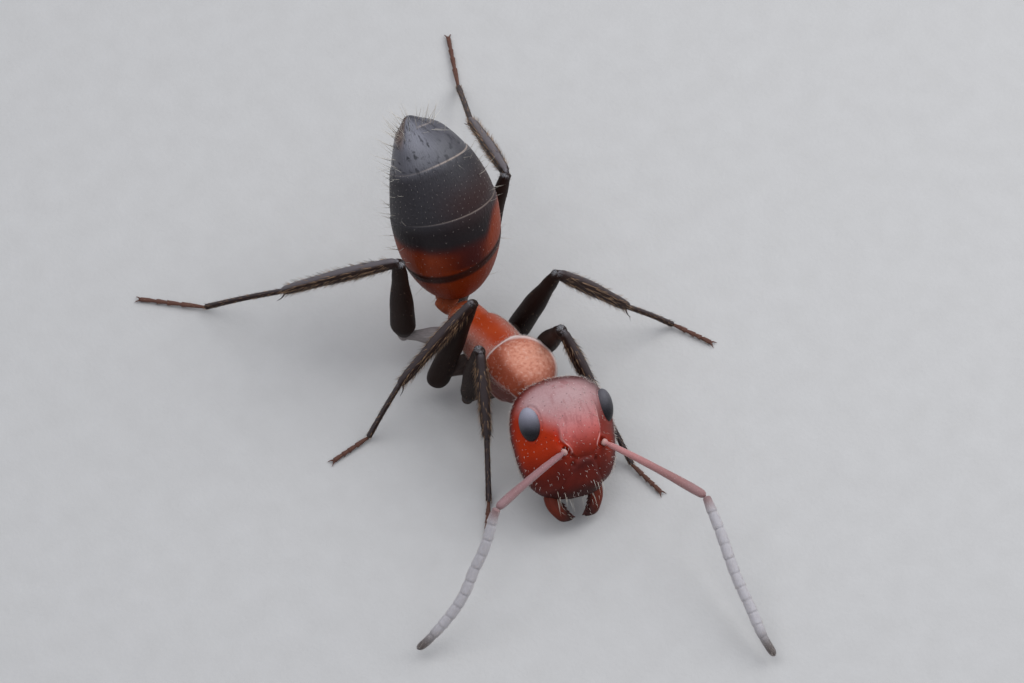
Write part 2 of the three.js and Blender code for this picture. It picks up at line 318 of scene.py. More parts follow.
class Frame:
    """A part's own axes: turned by nod about X, roll about Y and turn about Z, at a place from the waist."""

    def __init__(self, place, nod=0.0, turn=0.0, roll=0.0):
        self.origin = WAIST + np.array(place)
        turns = ((turn, "Z"), (nod, "X"), (roll, "Y"))
        axes = [Matrix.Rotation(math.radians(angle), 3, axis) for angle, axis in turns]
        self.axes = np.array(axes[0] @ axes[1] @ axes[2])

    def out(self, points):
        return points @ self.axes.T + self.origin

    def into(self, points):
        return (points - self.origin) @ self.axes


THORAX = Frame((0, 0, 0), nod=-3)
HEAD = Frame((-0.34, -4.28, 0.21), nod=40, turn=-24, roll=18)
GASTER = Frame((0.29, 0.28, 0.05), nod=72.5, turn=-18.5, roll=20)
print("head at", HEAD.origin, "gaster at", GASTER.origin)

# %% [markdown]
# ## Skins from rings
# Most plates are tubes that swell and taper, so they are woven from rings of points along a path, closed by
# a pole at each end. Weaving also gives an honest unwrap: round the ring one way, along the path the other.
# A hair grown later can look up where on the plate it stands.


# %% Shape tools
def smooth(low, high, value):
    """Rises smoothly from nothing to one between low and high, or falls where low is the larger."""
    share = np.clip((value - low) / (high - low), 0, 1)
    return share * share * (3 - 2 * share)


def bell(value, centre, width):
    """One at the centre, fading on both sides."""
    return np.exp(-(((value - centre) / width) ** 2))


def unit(vector):
    """The direction of a vector."""
    return vector / np.linalg.norm(vector)


def through(points, count):
    """A smooth path through the points, as this many points."""
    points = np.asarray(points, float)
    points = np.vstack((2 * points[0] - points[1], points, 2 * points[-1] - points[-2]))
    where = np.linspace(0, len(points) - 3, count)
    first = np.minimum(where.astype(int), len(points) - 4)
    t = (where - first)[:, None]
    a, b, c, d = (points[first + k] for k in range(4))
    return 0.5 * (2 * b + (c - a) * t + (2 * a - 5 * b + 4 * c - d) * t**2 + (3 * b - a - 3 * c + d) * t**3)


def profile(share, *stops):
    """A width that passes smoothly through (share of the length, width) stops."""
    width = np.full(np.shape(share), stops[0][1], float)
    for (start, before), (end, after) in zip(stops, stops[1:]):
        width = np.where(share > start, before + (after - before) * smooth(start, end, share), width)
    return width


def rounded(share, start=0.05, end=0.05):
    """A factor that rounds off both ends of a tube over these shares of its length."""
    inside = np.minimum(np.clip(share / start, 0, 1), np.clip((1 - share) / end, 0, 1))
    return np.sqrt(np.maximum(1 - (1 - inside) ** 2, 1e-4))


def tube(path, wide, tall, sides=20):
    """Rings round a path and their places. Wide is half the width across, tall half the height."""
    along = np.gradient(path, axis=0)
    along /= np.linalg.norm(along, axis=1)[:, None]
    across = np.cross(along, (0.0, 0.0, 1.0))
    across /= np.linalg.norm(across, axis=1)[:, None]
    above = np.cross(across, along)
    angle = np.linspace(0, 2 * np.pi, sides, endpoint=False)[None, :, None]
    wide, tall = (np.broadcast_to(half, len(path))[:, None, None] for half in (wide, tall))
    rings = path[:, None] + across[:, None] * np.cos(angle) * wide + above[:, None] * np.sin(angle) * tall
    gone = np.cumsum(np.r_[0, np.linalg.norm(np.diff(path, axis=0), axis=1)])[:, None, None]
    places = np.concatenate([gone + 0 * angle, np.cos(angle) + 0 * gone, np.sin(angle) + 0 * gone], axis=2)
    return rings, places


def limb(points, rows, stops, ends=(0.05, 0.05), flat=(1.0, 1.0), sides=20, swell=1.0):
    """A tube through points with a width rule, rounded off at its ends and flattened across or in height."""
    share = np.linspace(0, 1, rows)
    half = profile(share, *stops) * rounded(share, *ends) * swell
    return tube(through(points, rows), half * flat[0], half * flat[1], sides=sides)


def ovoid(centre, radii, power=2.0, rows=36, sides=48):
    """Rings of a rounded body with its poles along Y; a higher power makes it boxier."""
    rise = np.linspace(0.02, np.pi - 0.02, rows)[:, None]
    turn = np.linspace(0, 2 * np.pi, sides, endpoint=False)[None]
    circle = np.sin(rise)
    ball = np.stack((circle * np.cos(turn), np.cos(rise) + 0 * turn, circle * np.sin(turn)), axis=2)
    ball /= (np.abs(ball) ** power).sum(axis=2, keepdims=True) ** (1 / power)
    return ball * radii + centre


class Shape:
    """Closed skins in millimetres that make one piece."""

    def __init__(self):
        self.points, self.faces, self.unwrap, self.places = [], [], [], []

    def add(self, rings, places=None, tile=(0.0, 1.0)):
        """Weaves rings of points into a skin with a pole at each end. The tile is its share of the unwrap."""
        rows, sides = rings.shape[:2]
        start = sum(map(len, self.points))
        places = rings if places is None else places
        for kept, grid in ((self.points, rings), (self.places, places)):
            kept.append(np.concatenate((grid.reshape(-1, 3), grid[:1].mean(axis=1), grid[-1:].mean(axis=1))))

        def weave(row, side, corners, pole=None):
            """Faces from each row and side: corners by their steps along and around, then maybe a pole."""
            faces = [start + (row + along) * sides + (side + around) % sides for along, around in corners]
            spots = [(row + 1 + along, side + around) for along, around in corners]
            if pole is not None:
                faces.append(start + rows * sides + pole + 0 * side)
                spots.append(((rows + 1) * pole + 0 * side, side + 0.5))
            self.faces += np.stack(faces, axis=1).tolist()
            low, high = tile
            unwrap = [(around / sides, low + (high - low) * along / (rows + 1)) for along, around in spots]
            self.unwrap.append(np.transpose(unwrap, (2, 0, 1)).reshape(-1, 2))

        row, side = (index.ravel() for index in np.mgrid[0 : rows - 1, 0:sides])
        weave(row, side, ((0, 0), (1, 0), (1, 1), (0, 1)))
        side = np.arange(sides)
        weave(0 * side, side, ((0, 0), (0, 1)), pole=0)
        weave(0 * side + rows - 1, side, ((0, 1), (0, 0)), pole=1)
        return self

    def make(self, name, finish):
        """The piece, still in millimetres, with its places and its unwrap on it."""
        mesh = bpy.data.meshes.new(name)
        mesh.from_pydata(np.concatenate(self.points).tolist(), [], self.faces)
        mesh.uv_layers.new(name="Skin").uv.foreach_set("vector", np.concatenate(self.unwrap).ravel())
        return dress(name, mesh, np.concatenate(self.places), finish)


def dress(name, mesh, places, finish):
    """Faces a mesh outwards, smooths its shading and gives it places and a finish."""
    keep(mesh, "place", places)
    work = bmesh.new()
    work.from_mesh(mesh)
    bmesh.ops.recalc_face_normals(work, faces=work.faces)
    work.to_mesh(mesh)
    work.free()
    mesh.shade_smooth()
    mesh.materials.append(finish.material)
    return show(name, mesh)


def points_of(piece):
    return numbers(piece.data.vertices, "co")


def normals_of(piece):
    return numbers(piece.data.vertex_normals, "vector")


def place_of(piece):
    return numbers(piece.data.attributes["place"].data, "vector")


def reshape(piece, points):
    """Moves the points of a piece."""
    piece.data.vertices.foreach_set("co", points.ravel())
    piece.data.update()


def evaluated(piece):
    """The mesh of a piece with its modifiers carried out."""
    return bpy.data.meshes.new_from_object(piece.evaluated_get(bpy.context.evaluated_depsgraph_get()))


settled = []


def settle(piece, slot, *nodes):
    """Brings a finished piece to metres and hands it to the model, in place of the solids it stands for."""
    piece.data.transform(Matrix.Scale(MM, 4))
    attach(piece, "root")
    if nodes:
        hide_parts(*nodes)
    settled.append(piece)


print("shape tools ready")

# %% [markdown]
# ## Hairs from one node tree
# Every hair group, from the fine pile on the thorax to the stiff bristles on the shins, is the same small
# idea: scatter points over the skin, stand a thin spike on each, and comb it. Geometry Nodes repeat that
# with different sizes. The tree ends in Realize Instances, because the finished model keeps only true mesh.
# Each hair keeps the unwrap and the place of its root, so it can take the colour of the plate below it.


# %% Hair tree
class Wiring:
    """Adds nodes to a geometry tree by type, settings and inputs."""

    def __init__(self, name):
        self.tree = bpy.data.node_groups.new(name, "GeometryNodeTree")

    def add(self, kind, settings=None, inputs=None):
        node = self.tree.nodes.new(kind)
        for name, value in (settings or {}).items():
            setattr(node, name, value)
        for key, value in (inputs or {}).items():
            if isinstance(value, bpy.types.NodeSocket):
                self.tree.links.new(value, node.inputs[key])
            else:
                node.inputs[key].default_value = value
        return node.outputs[0] if node.outputs else node

    def named(self, name, kind="FLOAT_VECTOR"):
        return self.add("GeometryNodeInputNamedAttribute", {"data_type": kind}, {"Name": name})

    def store(self, geometry, name, value, kind="FLOAT_VECTOR", domain="CORNER"):
        """Keeps a value under a name on the geometry."""
        inputs = {"Geometry": geometry, "Name": name, "Value": value}
        return self.add("GeometryNodeStoreNamedAttribute", {"data_type": kind, "domain": domain}, inputs)

    def random(self, inputs, kind="FLOAT"):
        """A random value for each hair, drawn from the seed."""
        inputs = {**inputs, "Seed": given["Seed"]}
        return self.add("FunctionNodeRandomValue", {"data_type": kind}, inputs).node

    def vector(self, operation, *values):
        return self.add("ShaderNodeVectorMath", {"operation": operation}, dict(enumerate(values)))

    def scaled(self, vector, amount):
        return self.add("ShaderNodeVectorMath", {"operation": "SCALE"}, {"Vector": vector, "Scale": amount})

    def number(self, operation, *values):
        return self.add("ShaderNodeMath", {"operation": operation}, dict(enumerate(values)))


HAIR_INPUTS = {  # the kinds of the inputs
    "Float": ("Density", "Apart", "Length", "Shortest", "Thickness", "Lean", "Ruffle", "Bend"),
    "Int": ("Sides", "Steps", "Seed"),
    "Material": ("Finish",),
}
USUAL = {"Apart": 0.0, "Shortest": 0.6, "Ruffle": 0.12, "Bend": 0.0, "Sides": 3, "Steps": 1, "Seed": 1}
TUFT = 0.003  # how much of the unwrap one hair takes

w = Wiring("hairs on a skin")
w.tree.interface.new_socket("Geometry", in_out="INPUT", socket_type="NodeSocketGeometry")
w.tree.interface.new_socket("Geometry", in_out="OUTPUT", socket_type="NodeSocketGeometry")
hair_keys = {
    name: w.tree.interface.new_socket(name, in_out="INPUT", socket_type="NodeSocket" + kind).identifier
    for kind, names in HAIR_INPUTS.items()
    for name in names
}
given = w.tree.nodes.new("NodeGroupInput").outputs

scatter = w.add(
    "GeometryNodeDistributePointsOnFaces",
    {"distribute_method": "POISSON"},
    {
        "Mesh": given["Geometry"],
        "Distance Min": given["Apart"],
        "Density Max": given["Density"],
        "Density Factor": w.named("fur", "FLOAT"),
        "Seed": given["Seed"],
    },
).node
roots = w.store(scatter.outputs["Points"], "root", w.named("Skin"), domain="POINT")

spike_sizes = {
    "Vertices": given["Sides"],
    "Side Segments": given["Steps"],
    "Radius Top": 0.0,
    "Radius Bottom": given["Thickness"],
    "Depth": given["Length"],
}
spike = w.add("GeometryNodeMeshCone", {"fill_type": "NGON"}, spike_sizes)
spot = w.add("ShaderNodeSeparateXYZ", None, {0: w.add("GeometryNodeInputPosition")}).node.outputs
height_share = w.number("DIVIDE", spot[2], given["Length"])
width_share = w.number("DIVIDE", spot[0], w.number("MULTIPLY", given["Thickness"], 2.0))
spike = w.store(spike, "tuft", w.add("ShaderNodeCombineXYZ", None, {"X": width_share, "Y": height_share}))
bow = w.number("MULTIPLY", given["Bend"], w.number("POWER", height_share, 2.0))
bowed = w.add("ShaderNodeCombineXYZ", None, {"X": bow})
spike = w.add("GeometryNodeSetPosition", None, {"Geometry": spike, "Offset": bowed})

ruffle = w.random({"Min": (-1, -1, -1), "Max": (1, 1, 1)}, "FLOAT_VECTOR").outputs[0]
upright = w.scaled(scatter.outputs["Normal"], w.number("SUBTRACT", 1.0, given["Lean"]))
combed = w.vector("ADD", upright, w.scaled(w.named("lie"), given["Lean"]))
combed = w.vector("ADD", combed, w.scaled(ruffle, given["Ruffle"]))
align = "FunctionNodeAlignRotationToVector"
turned = w.add(align, {"axis": "Z"}, {"Vector": combed})
turned = w.add(align, {"axis": "X", "pivot_axis": "Z"}, {"Rotation": turned, "Vector": w.named("lie")})
growth = w.random({2: given["Shortest"]}).outputs[1]
stand = {"Points": roots, "Instance": spike, "Rotation": turned, "Scale": growth}
hairs = w.add("GeometryNodeInstanceOnPoints", None, stand)
hairs = w.add("GeometryNodeRealizeInstances", None, {"Geometry": hairs})
patch = w.vector("ADD", w.named("root"), w.scaled(w.named("tuft"), TUFT))
hairs = w.store(hairs, "OFBake", patch, "FLOAT2")
hairs = w.add("GeometryNodeSetMaterial", None, {"Geometry": hairs, "Material": given["Finish"]})
w.add("NodeGroupOutput", None, {0: hairs})


def grow(skin, name, finish, lie, fur=1.0, **sizes):
    """Grows a coat: lie is the comb direction at each point, fur how much of the density grows there."""
    mesh = skin.data.copy()
    count = len(mesh.vertices)
    lie, fur = np.broadcast_to(lie, (count, 3)), np.broadcast_to(fur, count)
    keep(mesh, "lie", lie)
    mesh.attributes.new("fur", "FLOAT", "POINT").data.foreach_set("value", fur.ravel())
    carrier = show("carrier", mesh)
    modifier = carrier.modifiers.new("hairs", "NODES")
    modifier.node_group = w.tree
    for key, value in {**USUAL, **sizes}.items():
        modifier[hair_keys[key]] = value
    modifier[hair_keys["Finish"]] = finish.material
    bpy.context.view_layer.update()
    coat_mesh = evaluated(carrier)
    bpy.data.objects.remove(carrier)
    coat_mesh.name = name
    coat_mesh.shade_smooth()
    print(name, len(coat_mesh.polygons), "faces")
    return show(name, coat_mesh)


def merge(name, coats):
    """Joins coats into one piece, leaving out the bare ones."""
    bare = [coat for coat in coats if not coat.data.polygons]
    coats = [coat for coat in coats if coat.data.polygons]
    for coat in bare:
        bpy.data.objects.remove(coat)
    with bpy.context.temp_override(active_object=coats[0], selected_editable_objects=coats):
        bpy.ops.object.join()
    coats[0].name = coats[0].data.name = name
    return coats[0]


print("hair tree of", len(w.tree.nodes), "nodes")

# %% [markdown]
# ## Shell colours
# The head is a deep orange red, like dark amber, and its crown is greyed by a haze that is partly the
# microscopic hairs on it and partly a painted sheen of the sky. Round the mouth it deepens to maroon. Painted
# shade darkens the parts that turn away from the light and the edge by the mouth, painted highlights run
# along the keels, and a patch of painted light lies on one lower cheek. Tiny pale and dark pits are scattered
# all over it. All of that is written as masks on the head's own coordinates: side, back towards the crown,
# and out of the face.


# %% Head finish
def from_rim(side, face):
    """How far a place lies inside the rim of the face, for numbers and for node values alike."""
    return face - 0.19 * side


shell = head_shell = Finish("head shell", Specular_IOR_Level=0.1, Coat_Roughness=0.4, Coat_IOR=1.56)
side, back, face = shell.split()
cloud, fine = shell.noise(2.2, 4.0), shell.noise(26.0, 2.0)
off = (side - 0.09 * shell.step(back, -1.0, -0.2)).size()  # how far from the middle of the face
keel = off - 0.5 + 0.17 * shell.step(back, 0.1, -0.25)  # how far outside the curved keel
between = shell.step(keel, 0.05, -0.04)
inner = shell.step(back + 0.14 * cloud, -0.32, 0.5)
outer = shell.step(back - 0.8 * off + 0.14 * cloud, -0.34, 0.28)
# A pale haze over crown and frons: partly the grey of microscopic hairs, partly a painted sheen of the sky.
hair_haze_and_sheen = (outer + between * (inner - outer)) * shell.step(face, -0.1, 0.3)
crown = shell.step(back + 0.12 * cloud, -0.05, 1.05)
# The two tones of that haze and painted sheen: pinker low on the frons, greyer towards the crown.
frons_sheen_tone = shell.mix(fine, (0.56, 0.1, 0.09), (0.68, 0.2, 0.18))
crown_sheen_tone = shell.mix(fine, (0.34, 0.17, 0.165), (0.47, 0.28, 0.27))
amber = shell.mix(cloud, (0.34, 0.014, 0.001), (0.46, 0.036, 0.003))
plum = shell.mix(shell.noise(3.5, 3.0), (0.03, 0.005, 0.005), (0.13, 0.016, 0.01))
hollow = shell.bell(keel, 0.07, 0.1) * shell.step(back, -0.4, -0.2) * shell.step(back, 0.45, 0.25)
blotch = shell.step(shell.noise(6.0, 4.0, stretch=(1.5, 0.6, 1.0)), 0.5, 0.68) * between
mouth = shell.step(back + 0.25 * off + 0.2 * (cloud - 0.5), 0.34, -0.62)
notch = shell.bell(back + 0.3 * off, -0.55, 0.18) * shell.bell(off, 0.0, 0.42)
# Painted light: a lighter red patch on the lower cheek of the ant's left side only.
glow = shell.bell(side, 0.78, 0.3) * shell.bell(back, -0.5, 0.4)
# Painted shade: the face is darkened towards its rim, where the head turns away from the light.
shade_near_rim = shell.step(from_rim(side, face), 0.44, 0.12)
# Painted shade: a darker strip on the ant's left, between the keel and the eye.
shade_beside_keel = shell.step(side, 0.52, 0.64) * shell.step(back, -0.3, 0.05) * shell.step(back, 0.9, 0.45)
# Painted shade: the lower edge of the face by the mouth is darkened to near black, for the shadow under the
# shield.
lip = shell.step(back + 0.1 * off, -0.9, -1.2)
# Painted highlight: a pale line along the crest of each keel, reaching further up on the left keel.
highlight_reach = back - 0.4 * shell.step(side, 0.0, 0.3)  # the left keel shows further up
ridge_highlight = shell.bell(keel, -0.005, 0.025) * shell.step(back, -0.34, -0.22) * shell.step(highlight_reach, 0.34, 0.0)
pits, dots = shell.step(shell.cells(8.0), 0.15, 0.06), shell.step(shell.cells(6.3), 0.12, 0.05)
head_tone = shell.paint(
    amber,
    (hollow * 0.7, (0.58, 0.024, 0.001)),
    (hair_haze_and_sheen, shell.mix(crown, frons_sheen_tone, crown_sheen_tone)),
    (blotch * 0.35, (0.22, 0.025, 0.025)),
    (mouth * 0.9, plum),
    (notch * 0.5, (0.014, 0.003, 0.003)),
    (glow * 0.25, (0.3, 0.05, 0.03)),
    (shade_near_rim * 0.85, (0.07, 0.012, 0.011)),
    (shade_beside_keel * 0.7, (0.13, 0.04, 0.035)),
    (lip * 0.8, (0.02, 0.004, 0.003)),
    (ridge_highlight * 0.55, (0.75, 0.42, 0.38)),
    (pits * 0.6, (0.08, 0.012, 0.012)),
    (dots * (0.4 + 0.3 * hair_haze_and_sheen), (0.66, 0.44, 0.4)),
)
shell.set(Base_Color=head_tone, Roughness=0.44 + 0.14 * fine, Coat_Weight=0.05 + 0.6 * hair_haze_and_sheen)
shell.bump(0.5 * fine + 0.3 * shell.cells(34.0) - 0.7 * pits, 0.008)
print("head finish:", len(head_shell.tree.nodes), "nodes")

# %% [markdown]
# ## Head
# Seen in full face the capsule is rounded behind and squarer at the mouth, and it is flatter than it is
# wide. Its outline is a rule, so the skin is woven from rings between crown and mouth. The relief of the
# face is then added along the surface: the raised forehead with its two curved keels, the pits of the
# feelers, the shield over the jaws, and the rims of the eyes. The rings crowd together on the face, because
# that is where the detail is.

# %% Head shape
HEAD_WIDTH, HEAD_LENGTH, HEAD_THICKNESS, HEAD_TAPER = 2.5, 2.64, 1.56, 0.13
HEAD_INSET = 0.988  # the skin lies a little inside the solid
EYE = {"side": 0.955, "back": 0.505, "radii": (0.235, 0.375, 0.185), "lean": 52, "sunk": 0.03}
SOCKETS = ((-0.345, -0.215), (0.585, -0.2))  # side and back of the two feeler pits
KEEL = ((-0.42, 0.2), (-0.33, 0.27), (-0.2, 0.36), (-0.06, 0.44), (0.1, 0.485), (0.4, 0.5), (0.55, 0.5))
SHIELD = ((-1.35, 0.62), (-1.05, 0.5), (-0.8, 0.36), (-0.6, 0.3), (-0.45, 0.24))


def head_half_width(share):
    """Half the head's width at a share of its length, counted from the crown."""
    power = np.where(share < 0.5, 2.6, 3.0)  # squarer towards the mouth
    oval = np.maximum(1 - np.abs(2 * share - 1) ** power, 0) ** (1 / power)
    return HEAD_WIDTH / 2 * oval * (1 - HEAD_TAPER * share**2)


def face_height(side, back):
    """How far the face stands out at a place, before its relief."""
    half = head_half_width(0.5 - np.asarray(back) / HEAD_LENGTH)
    return HEAD_THICKNESS / HEAD_WIDTH * np.sqrt(np.maximum(half**2 - np.asarray(side) ** 2, 0))


def midline(back):
    """The face sits a little to the ant's left of the middle at the feelers, and centrally at the mouth."""
    return 0.09 * smooth(-1.0, -0.2, back)


def head_relief(side, back, face):
    """How far the skin stands out at each point of the head, in millimetres."""
    front = smooth(0.0, 0.3, face)
    off = side - midline(back)
    reach, keel = zip(*KEEL)
    edge = np.abs(off) - np.interp(back, reach, keel)
    span = smooth(-0.45, -0.3, back) * smooth(0.42, 0.1, back)
    # The raised forehead, its two keels, the trough outside each and the dip between them.
    rise = 0.03 * smooth(-0.45, -0.3, back) * smooth(0.75, -0.05, back) * smooth(0.03, -0.08, edge)
    rise += span * 0.032 * bell(edge, -0.008, 0.026)
    rise -= span * 0.045 * bell(edge, 0.08, 0.08) * smooth(-0.01, 0.03, edge)
    rise -= span * 0.02 * bell(off, 0, 0.16)
    # A ring round each feeler pit.
    for spot in SOCKETS:
        far = np.hypot(side - spot[0], back - spot[1])
        rise += 0.03 * bell(far, 0.12, 0.03) - 0.06 * bell(far, 0, 0.075)
    # The shield over the jaws: its swell and edge, the groove above it, two pits and the ridge down it.
    reach, half = zip(*SHIELD)
    rim = np.abs(off) - np.interp(back, reach, half)
    plate = smooth(-0.42, -0.5, back)
    rise += plate * (0.045 * smooth(0.04, -0.12, rim) - 0.02 * bell(rim, 0.03, 0.03))
    rise -= 0.02 * bell(back, -0.47, 0.06) * smooth(0.32, 0.15, np.abs(off))
    rise -= 0.05 * bell(np.hypot(np.abs(off) - 0.29, back + 0.55), 0, 0.05)
    rise += plate * 0.012 * bell(off, 0, 0.05) * smooth(-1.25, -1.0, back)
    # The hinges of the jaws.
    rise -= 0.05 * bell(np.hypot(np.abs(side) - 0.66, back + 1.16), 0, 0.14)
    rise *= front
    # A rim and a groove round each eye.
    lean = np.radians(EYE["lean"])
    for sign in OUT.values():
        far_out = sign * side - EYE["side"]
        level = face - face_height(EYE["side"], EYE["back"])
        inwards = far_out * np.cos(lean) - level * np.sin(lean)
        ring = np.hypot(inwards / EYE["radii"][0], (back - EYE["back"]) / EYE["radii"][1])
        near = smooth(0.5, 0.25, np.abs(far_out * np.sin(lean) + level * np.cos(lean)))
        rise += near * (0.007 * bell(ring, 1.16, 0.12) - 0.012 * bell(ring, 1.0, 0.06))
    # Behind: the hollow for the neck, the seam of the throat and the recess of the mouth.
    rise -= 0.12 * bell(np.hypot(side, back - 0.5), 0, 0.3) * smooth(0, -0.3, face)
    rise -= 0.03 * bell(side, 0, 0.04) * smooth(0, -0.3, face) * smooth(0.3, -0.2, back)
    rise -= 0.1 * smooth(0.42, 0.2, np.abs(side)) * smooth(-0.75, -1.0, back) * smooth(0.05, -0.15, face)
    return rise


ROWS, SIDES = 180, 256
POLE_GAP = 0.035  # angle left open round crown and mouth, for the poles
CROWDING = 0.35  # how much closer the points stand on the face
share = (1 - np.cos(np.linspace(POLE_GAP, np.pi - POLE_GAP, ROWS))) / 2
spin = np.linspace(0, 2 * np.pi, SIDES, endpoint=False)
spin = spin - CROWDING * np.sin(spin)
half = head_half_width(share)[:, None]
lengthwise = (0.5 - share)[:, None] * HEAD_LENGTH + 0 * spin
crosswise, outwards = half * np.sin(spin), half * np.cos(spin) * HEAD_THICKNESS / HEAD_WIDTH
head_rings = np.stack((crosswise, lengthwise, outwards), axis=2) * HEAD_INSET
grade = head_rings / np.array((HEAD_WIDTH, HEAD_LENGTH, HEAD_THICKNESS)) ** 2
grade /= np.linalg.norm(grade, axis=2, keepdims=True)
head_rings = head_rings + grade * head_relief(*np.moveaxis(head_rings, 2, 0))[..., None]
head = Shape().add(HEAD.out(head_rings), head_rings).make("head", head_shell)
print("head", len(head.data.polygons), "faces")

# %% [markdown]
# ## Eyes
# An ant's eye is a low dome of hundreds of tiny lenses, dark and satin rather than glassy: its upper half
# is painted in the grey of the sky, a painted reflection. The lenses are far too small to model, so a fine
# cell pattern dents the shading.


# %% Eyes
def eye_finish(name, sky_tone):
    """The finish of one eye, whose upper half is painted with the tone of the sky, a painted reflection."""
    eye = Finish(name, Specular_IOR_Level=0.2)
    lens, tone = eye.cells(42.0), eye.noise(3.0)
    grit = eye.noise(60.0, 1.0)
    sky_side = eye.step(eye.split()[1] + 0.1 * tone, -0.16, 0.42)
    shade = eye.mix(sky_side, (0.003, 0.002, 0.002), sky_tone)
    shade = eye.mix(0.4 * grit, shade, (0.01, 0.01, 0.012))
    eye.set(Base_Color=eye.mix(0.1 * lens, shade, (0.2, 0.2, 0.23)), Roughness=0.36 + 0.12 * tone)
    eye.bump(1 - lens, 0.004)
    return eye


# Painted reflection: the upper half of the right eye is painted much brighter than the left's.
EYE_SKY = {1: (0.13, 0.12, 0.13), -1: (0.38, 0.365, 0.43)}  # tone of the lit half of the left and right eye
EYE_DEEPER = {1: 0.035, -1: 0.0}  # how much deeper each eye sits


def make_eye(name, sign):
    """A low dome, leaned outwards at the side of the face."""
    dome = ovoid((0, 0, 0), np.array(EYE["radii"]), rows=56, sides=64)
    turn = np.array(Matrix.Rotation(math.radians(sign * EYE["lean"]), 3, "Y"))
    centre = (sign * EYE["side"], EYE["back"], face_height(EYE["side"], EYE["back"]) - EYE["sunk"])
    centre -= turn @ (0, 0, EYE_DEEPER[sign])
    return Shape().add(HEAD.out(dome @ turn.T + centre), dome).make(name, eye_finish(name, EYE_SKY[sign]))


eyes = {side: make_eye("eye_" + side, sign) for side, sign in OUT.items()}
print("eyes", [len(eye.data.polygons) for eye in eyes.values()])

# %% [markdown]
# ## Jaws
# Each jaw is a curved blade, thick where it hinges at the corner of the face and thin at the cutting edge,
# with a row of blunt dark teeth on the inner side. The blade is a flattened tube along a bent path, and
# each tooth is a short cone on it. The other jaw is the same numbers with the side reversed.

# %% Jaws
shell = jaw_shell = Finish("jaw shell", Specular_IOR_Level=0.2)
gone = shell.split()[0]
streak = shell.noise(7.0, 3.0, stretch=(0.3, 2.0, 2.0))
jaw_tone = shell.mix(streak, (0.035, 0.003, 0.002), (0.24, 0.035, 0.012))
jaw_tone = shell.mix(shell.step(gone, 0.5, 0.95), jaw_tone, (0.03, 0.006, 0.004))
shell.set(Base_Color=jaw_tone, Roughness=0.28 + 0.15 * streak)
shell.bump(streak, 0.01)

JAW_PATH = (
    (0.5, -0.95, -0.1), (0.53, -1.2, -0.06), (0.5, -1.45, -0.03), (0.37, -1.67, 0.0), (0.14, -1.78, 0.01),
)
JAW_TEETH = ((0.28, -1.42), (0.25, -1.5), (0.21, -1.58), (0.16, -1.66), (0.1, -1.73))


def make_jaw(name, sign):
    """A blade with its teeth."""
    flip = np.array((sign, 1, 1))
    path = through(JAW_PATH, 40)
    share = np.linspace(0, 1, 40)
    wide = profile(share, (0, 0.17), (0.35, 0.19), (0.7, 0.14), (1, 0.05)) * rounded(share, 0.06, 0.12)
    tall = profile(share, (0, 0.16), (0.5, 0.12), (1, 0.035)) * rounded(share, 0.06, 0.12)
    rings, places = tube(path, wide, tall, sides=28)
    shape = Shape().add(HEAD.out(rings * flip), places, (0, 0.7))
    for count, (side, back) in enumerate(JAW_TEETH):
        root = np.array((side + 0.1, back + 0.02, 0.0))
        tip = np.array((side - 0.02, back - 0.03, 0.0))
        cusp = (root, (root + tip) / 2, tip)
        rings, places = limb(cusp, 9, ((0, 0.05), (1, 0.012)), (0.1, 0.25), (1.0, 0.8), 12)
        tile = (0.7 + 0.06 * count, 0.76 + 0.06 * count)
        shape.add(HEAD.out(rings * flip), places * 0 + (0.85, 1, 0), tile)
    return shape.make(name, jaw_shell)


jaws = {side: make_jaw("mandible_" + side, sign) for side, sign in OUT.items()}
print("jaws", [len(jaw.data.polygons) for jaw in jaws.values()])

# %% [markdown]
# ## Feelers
# A feeler is one long first joint, the scape, and then a lash of eleven short joints. The scape turns in
# its socket on a pale ball with a thin neck. Each joint of the lash is a little wider at its far end, so
# the lash reads as a string of slim bells with dark gaps. The lash is one tube whose width follows that
# rule along its path.

# %% Feeler finishes
# Lit and shaded copies of one tone: the left scape is painted lighter than the right, as painted light.
SCAPE_TONES = {  # dark and light near the head, dark and light near the elbow
    "right": ((0.21, 0.085, 0.085), (0.39, 0.19, 0.195), (0.19, 0.085, 0.085), (0.34, 0.185, 0.18)),
    "left": ((0.36, 0.125, 0.115), (0.62, 0.29, 0.27), (0.24, 0.1, 0.09), (0.42, 0.21, 0.19)),
}
scape_shells = {}
for which, tones in SCAPE_TONES.items():
    shell = scape_shells[which] = Finish(which + " scape shell", Specular_IOR_Level=0.35)
    shell.set(Sheen_Weight=0.3, Sheen_Roughness=0.4)
    gone, _, top = shell.split()
    fleck = shell.noise(14.0, 3.0, stretch=(0.35, 1.6, 1.6))
    # Painted shade darkens the underside of each scape.
    scape_tone = shell.paint(
        shell.mix(fleck, *tones[:2]),
        (shell.step(gone, 0.6, 1.9), shell.mix(fleck, *tones[2:])),
        (shell.step(gone, 0.16, 0.05), (0.55, 0.33, 0.28)),
        (shell.step(gone, 2.0, 2.4) * 0.3, (0.3, 0.2, 0.2)),
        (shell.step(top, 0.0, -0.8) * 0.65, (0.1, 0.035, 0.035)),
    )
    shell.set(Base_Color=scape_tone, Roughness=0.38 + 0.15 * fleck)
    shell.bump(fleck, 0.006)

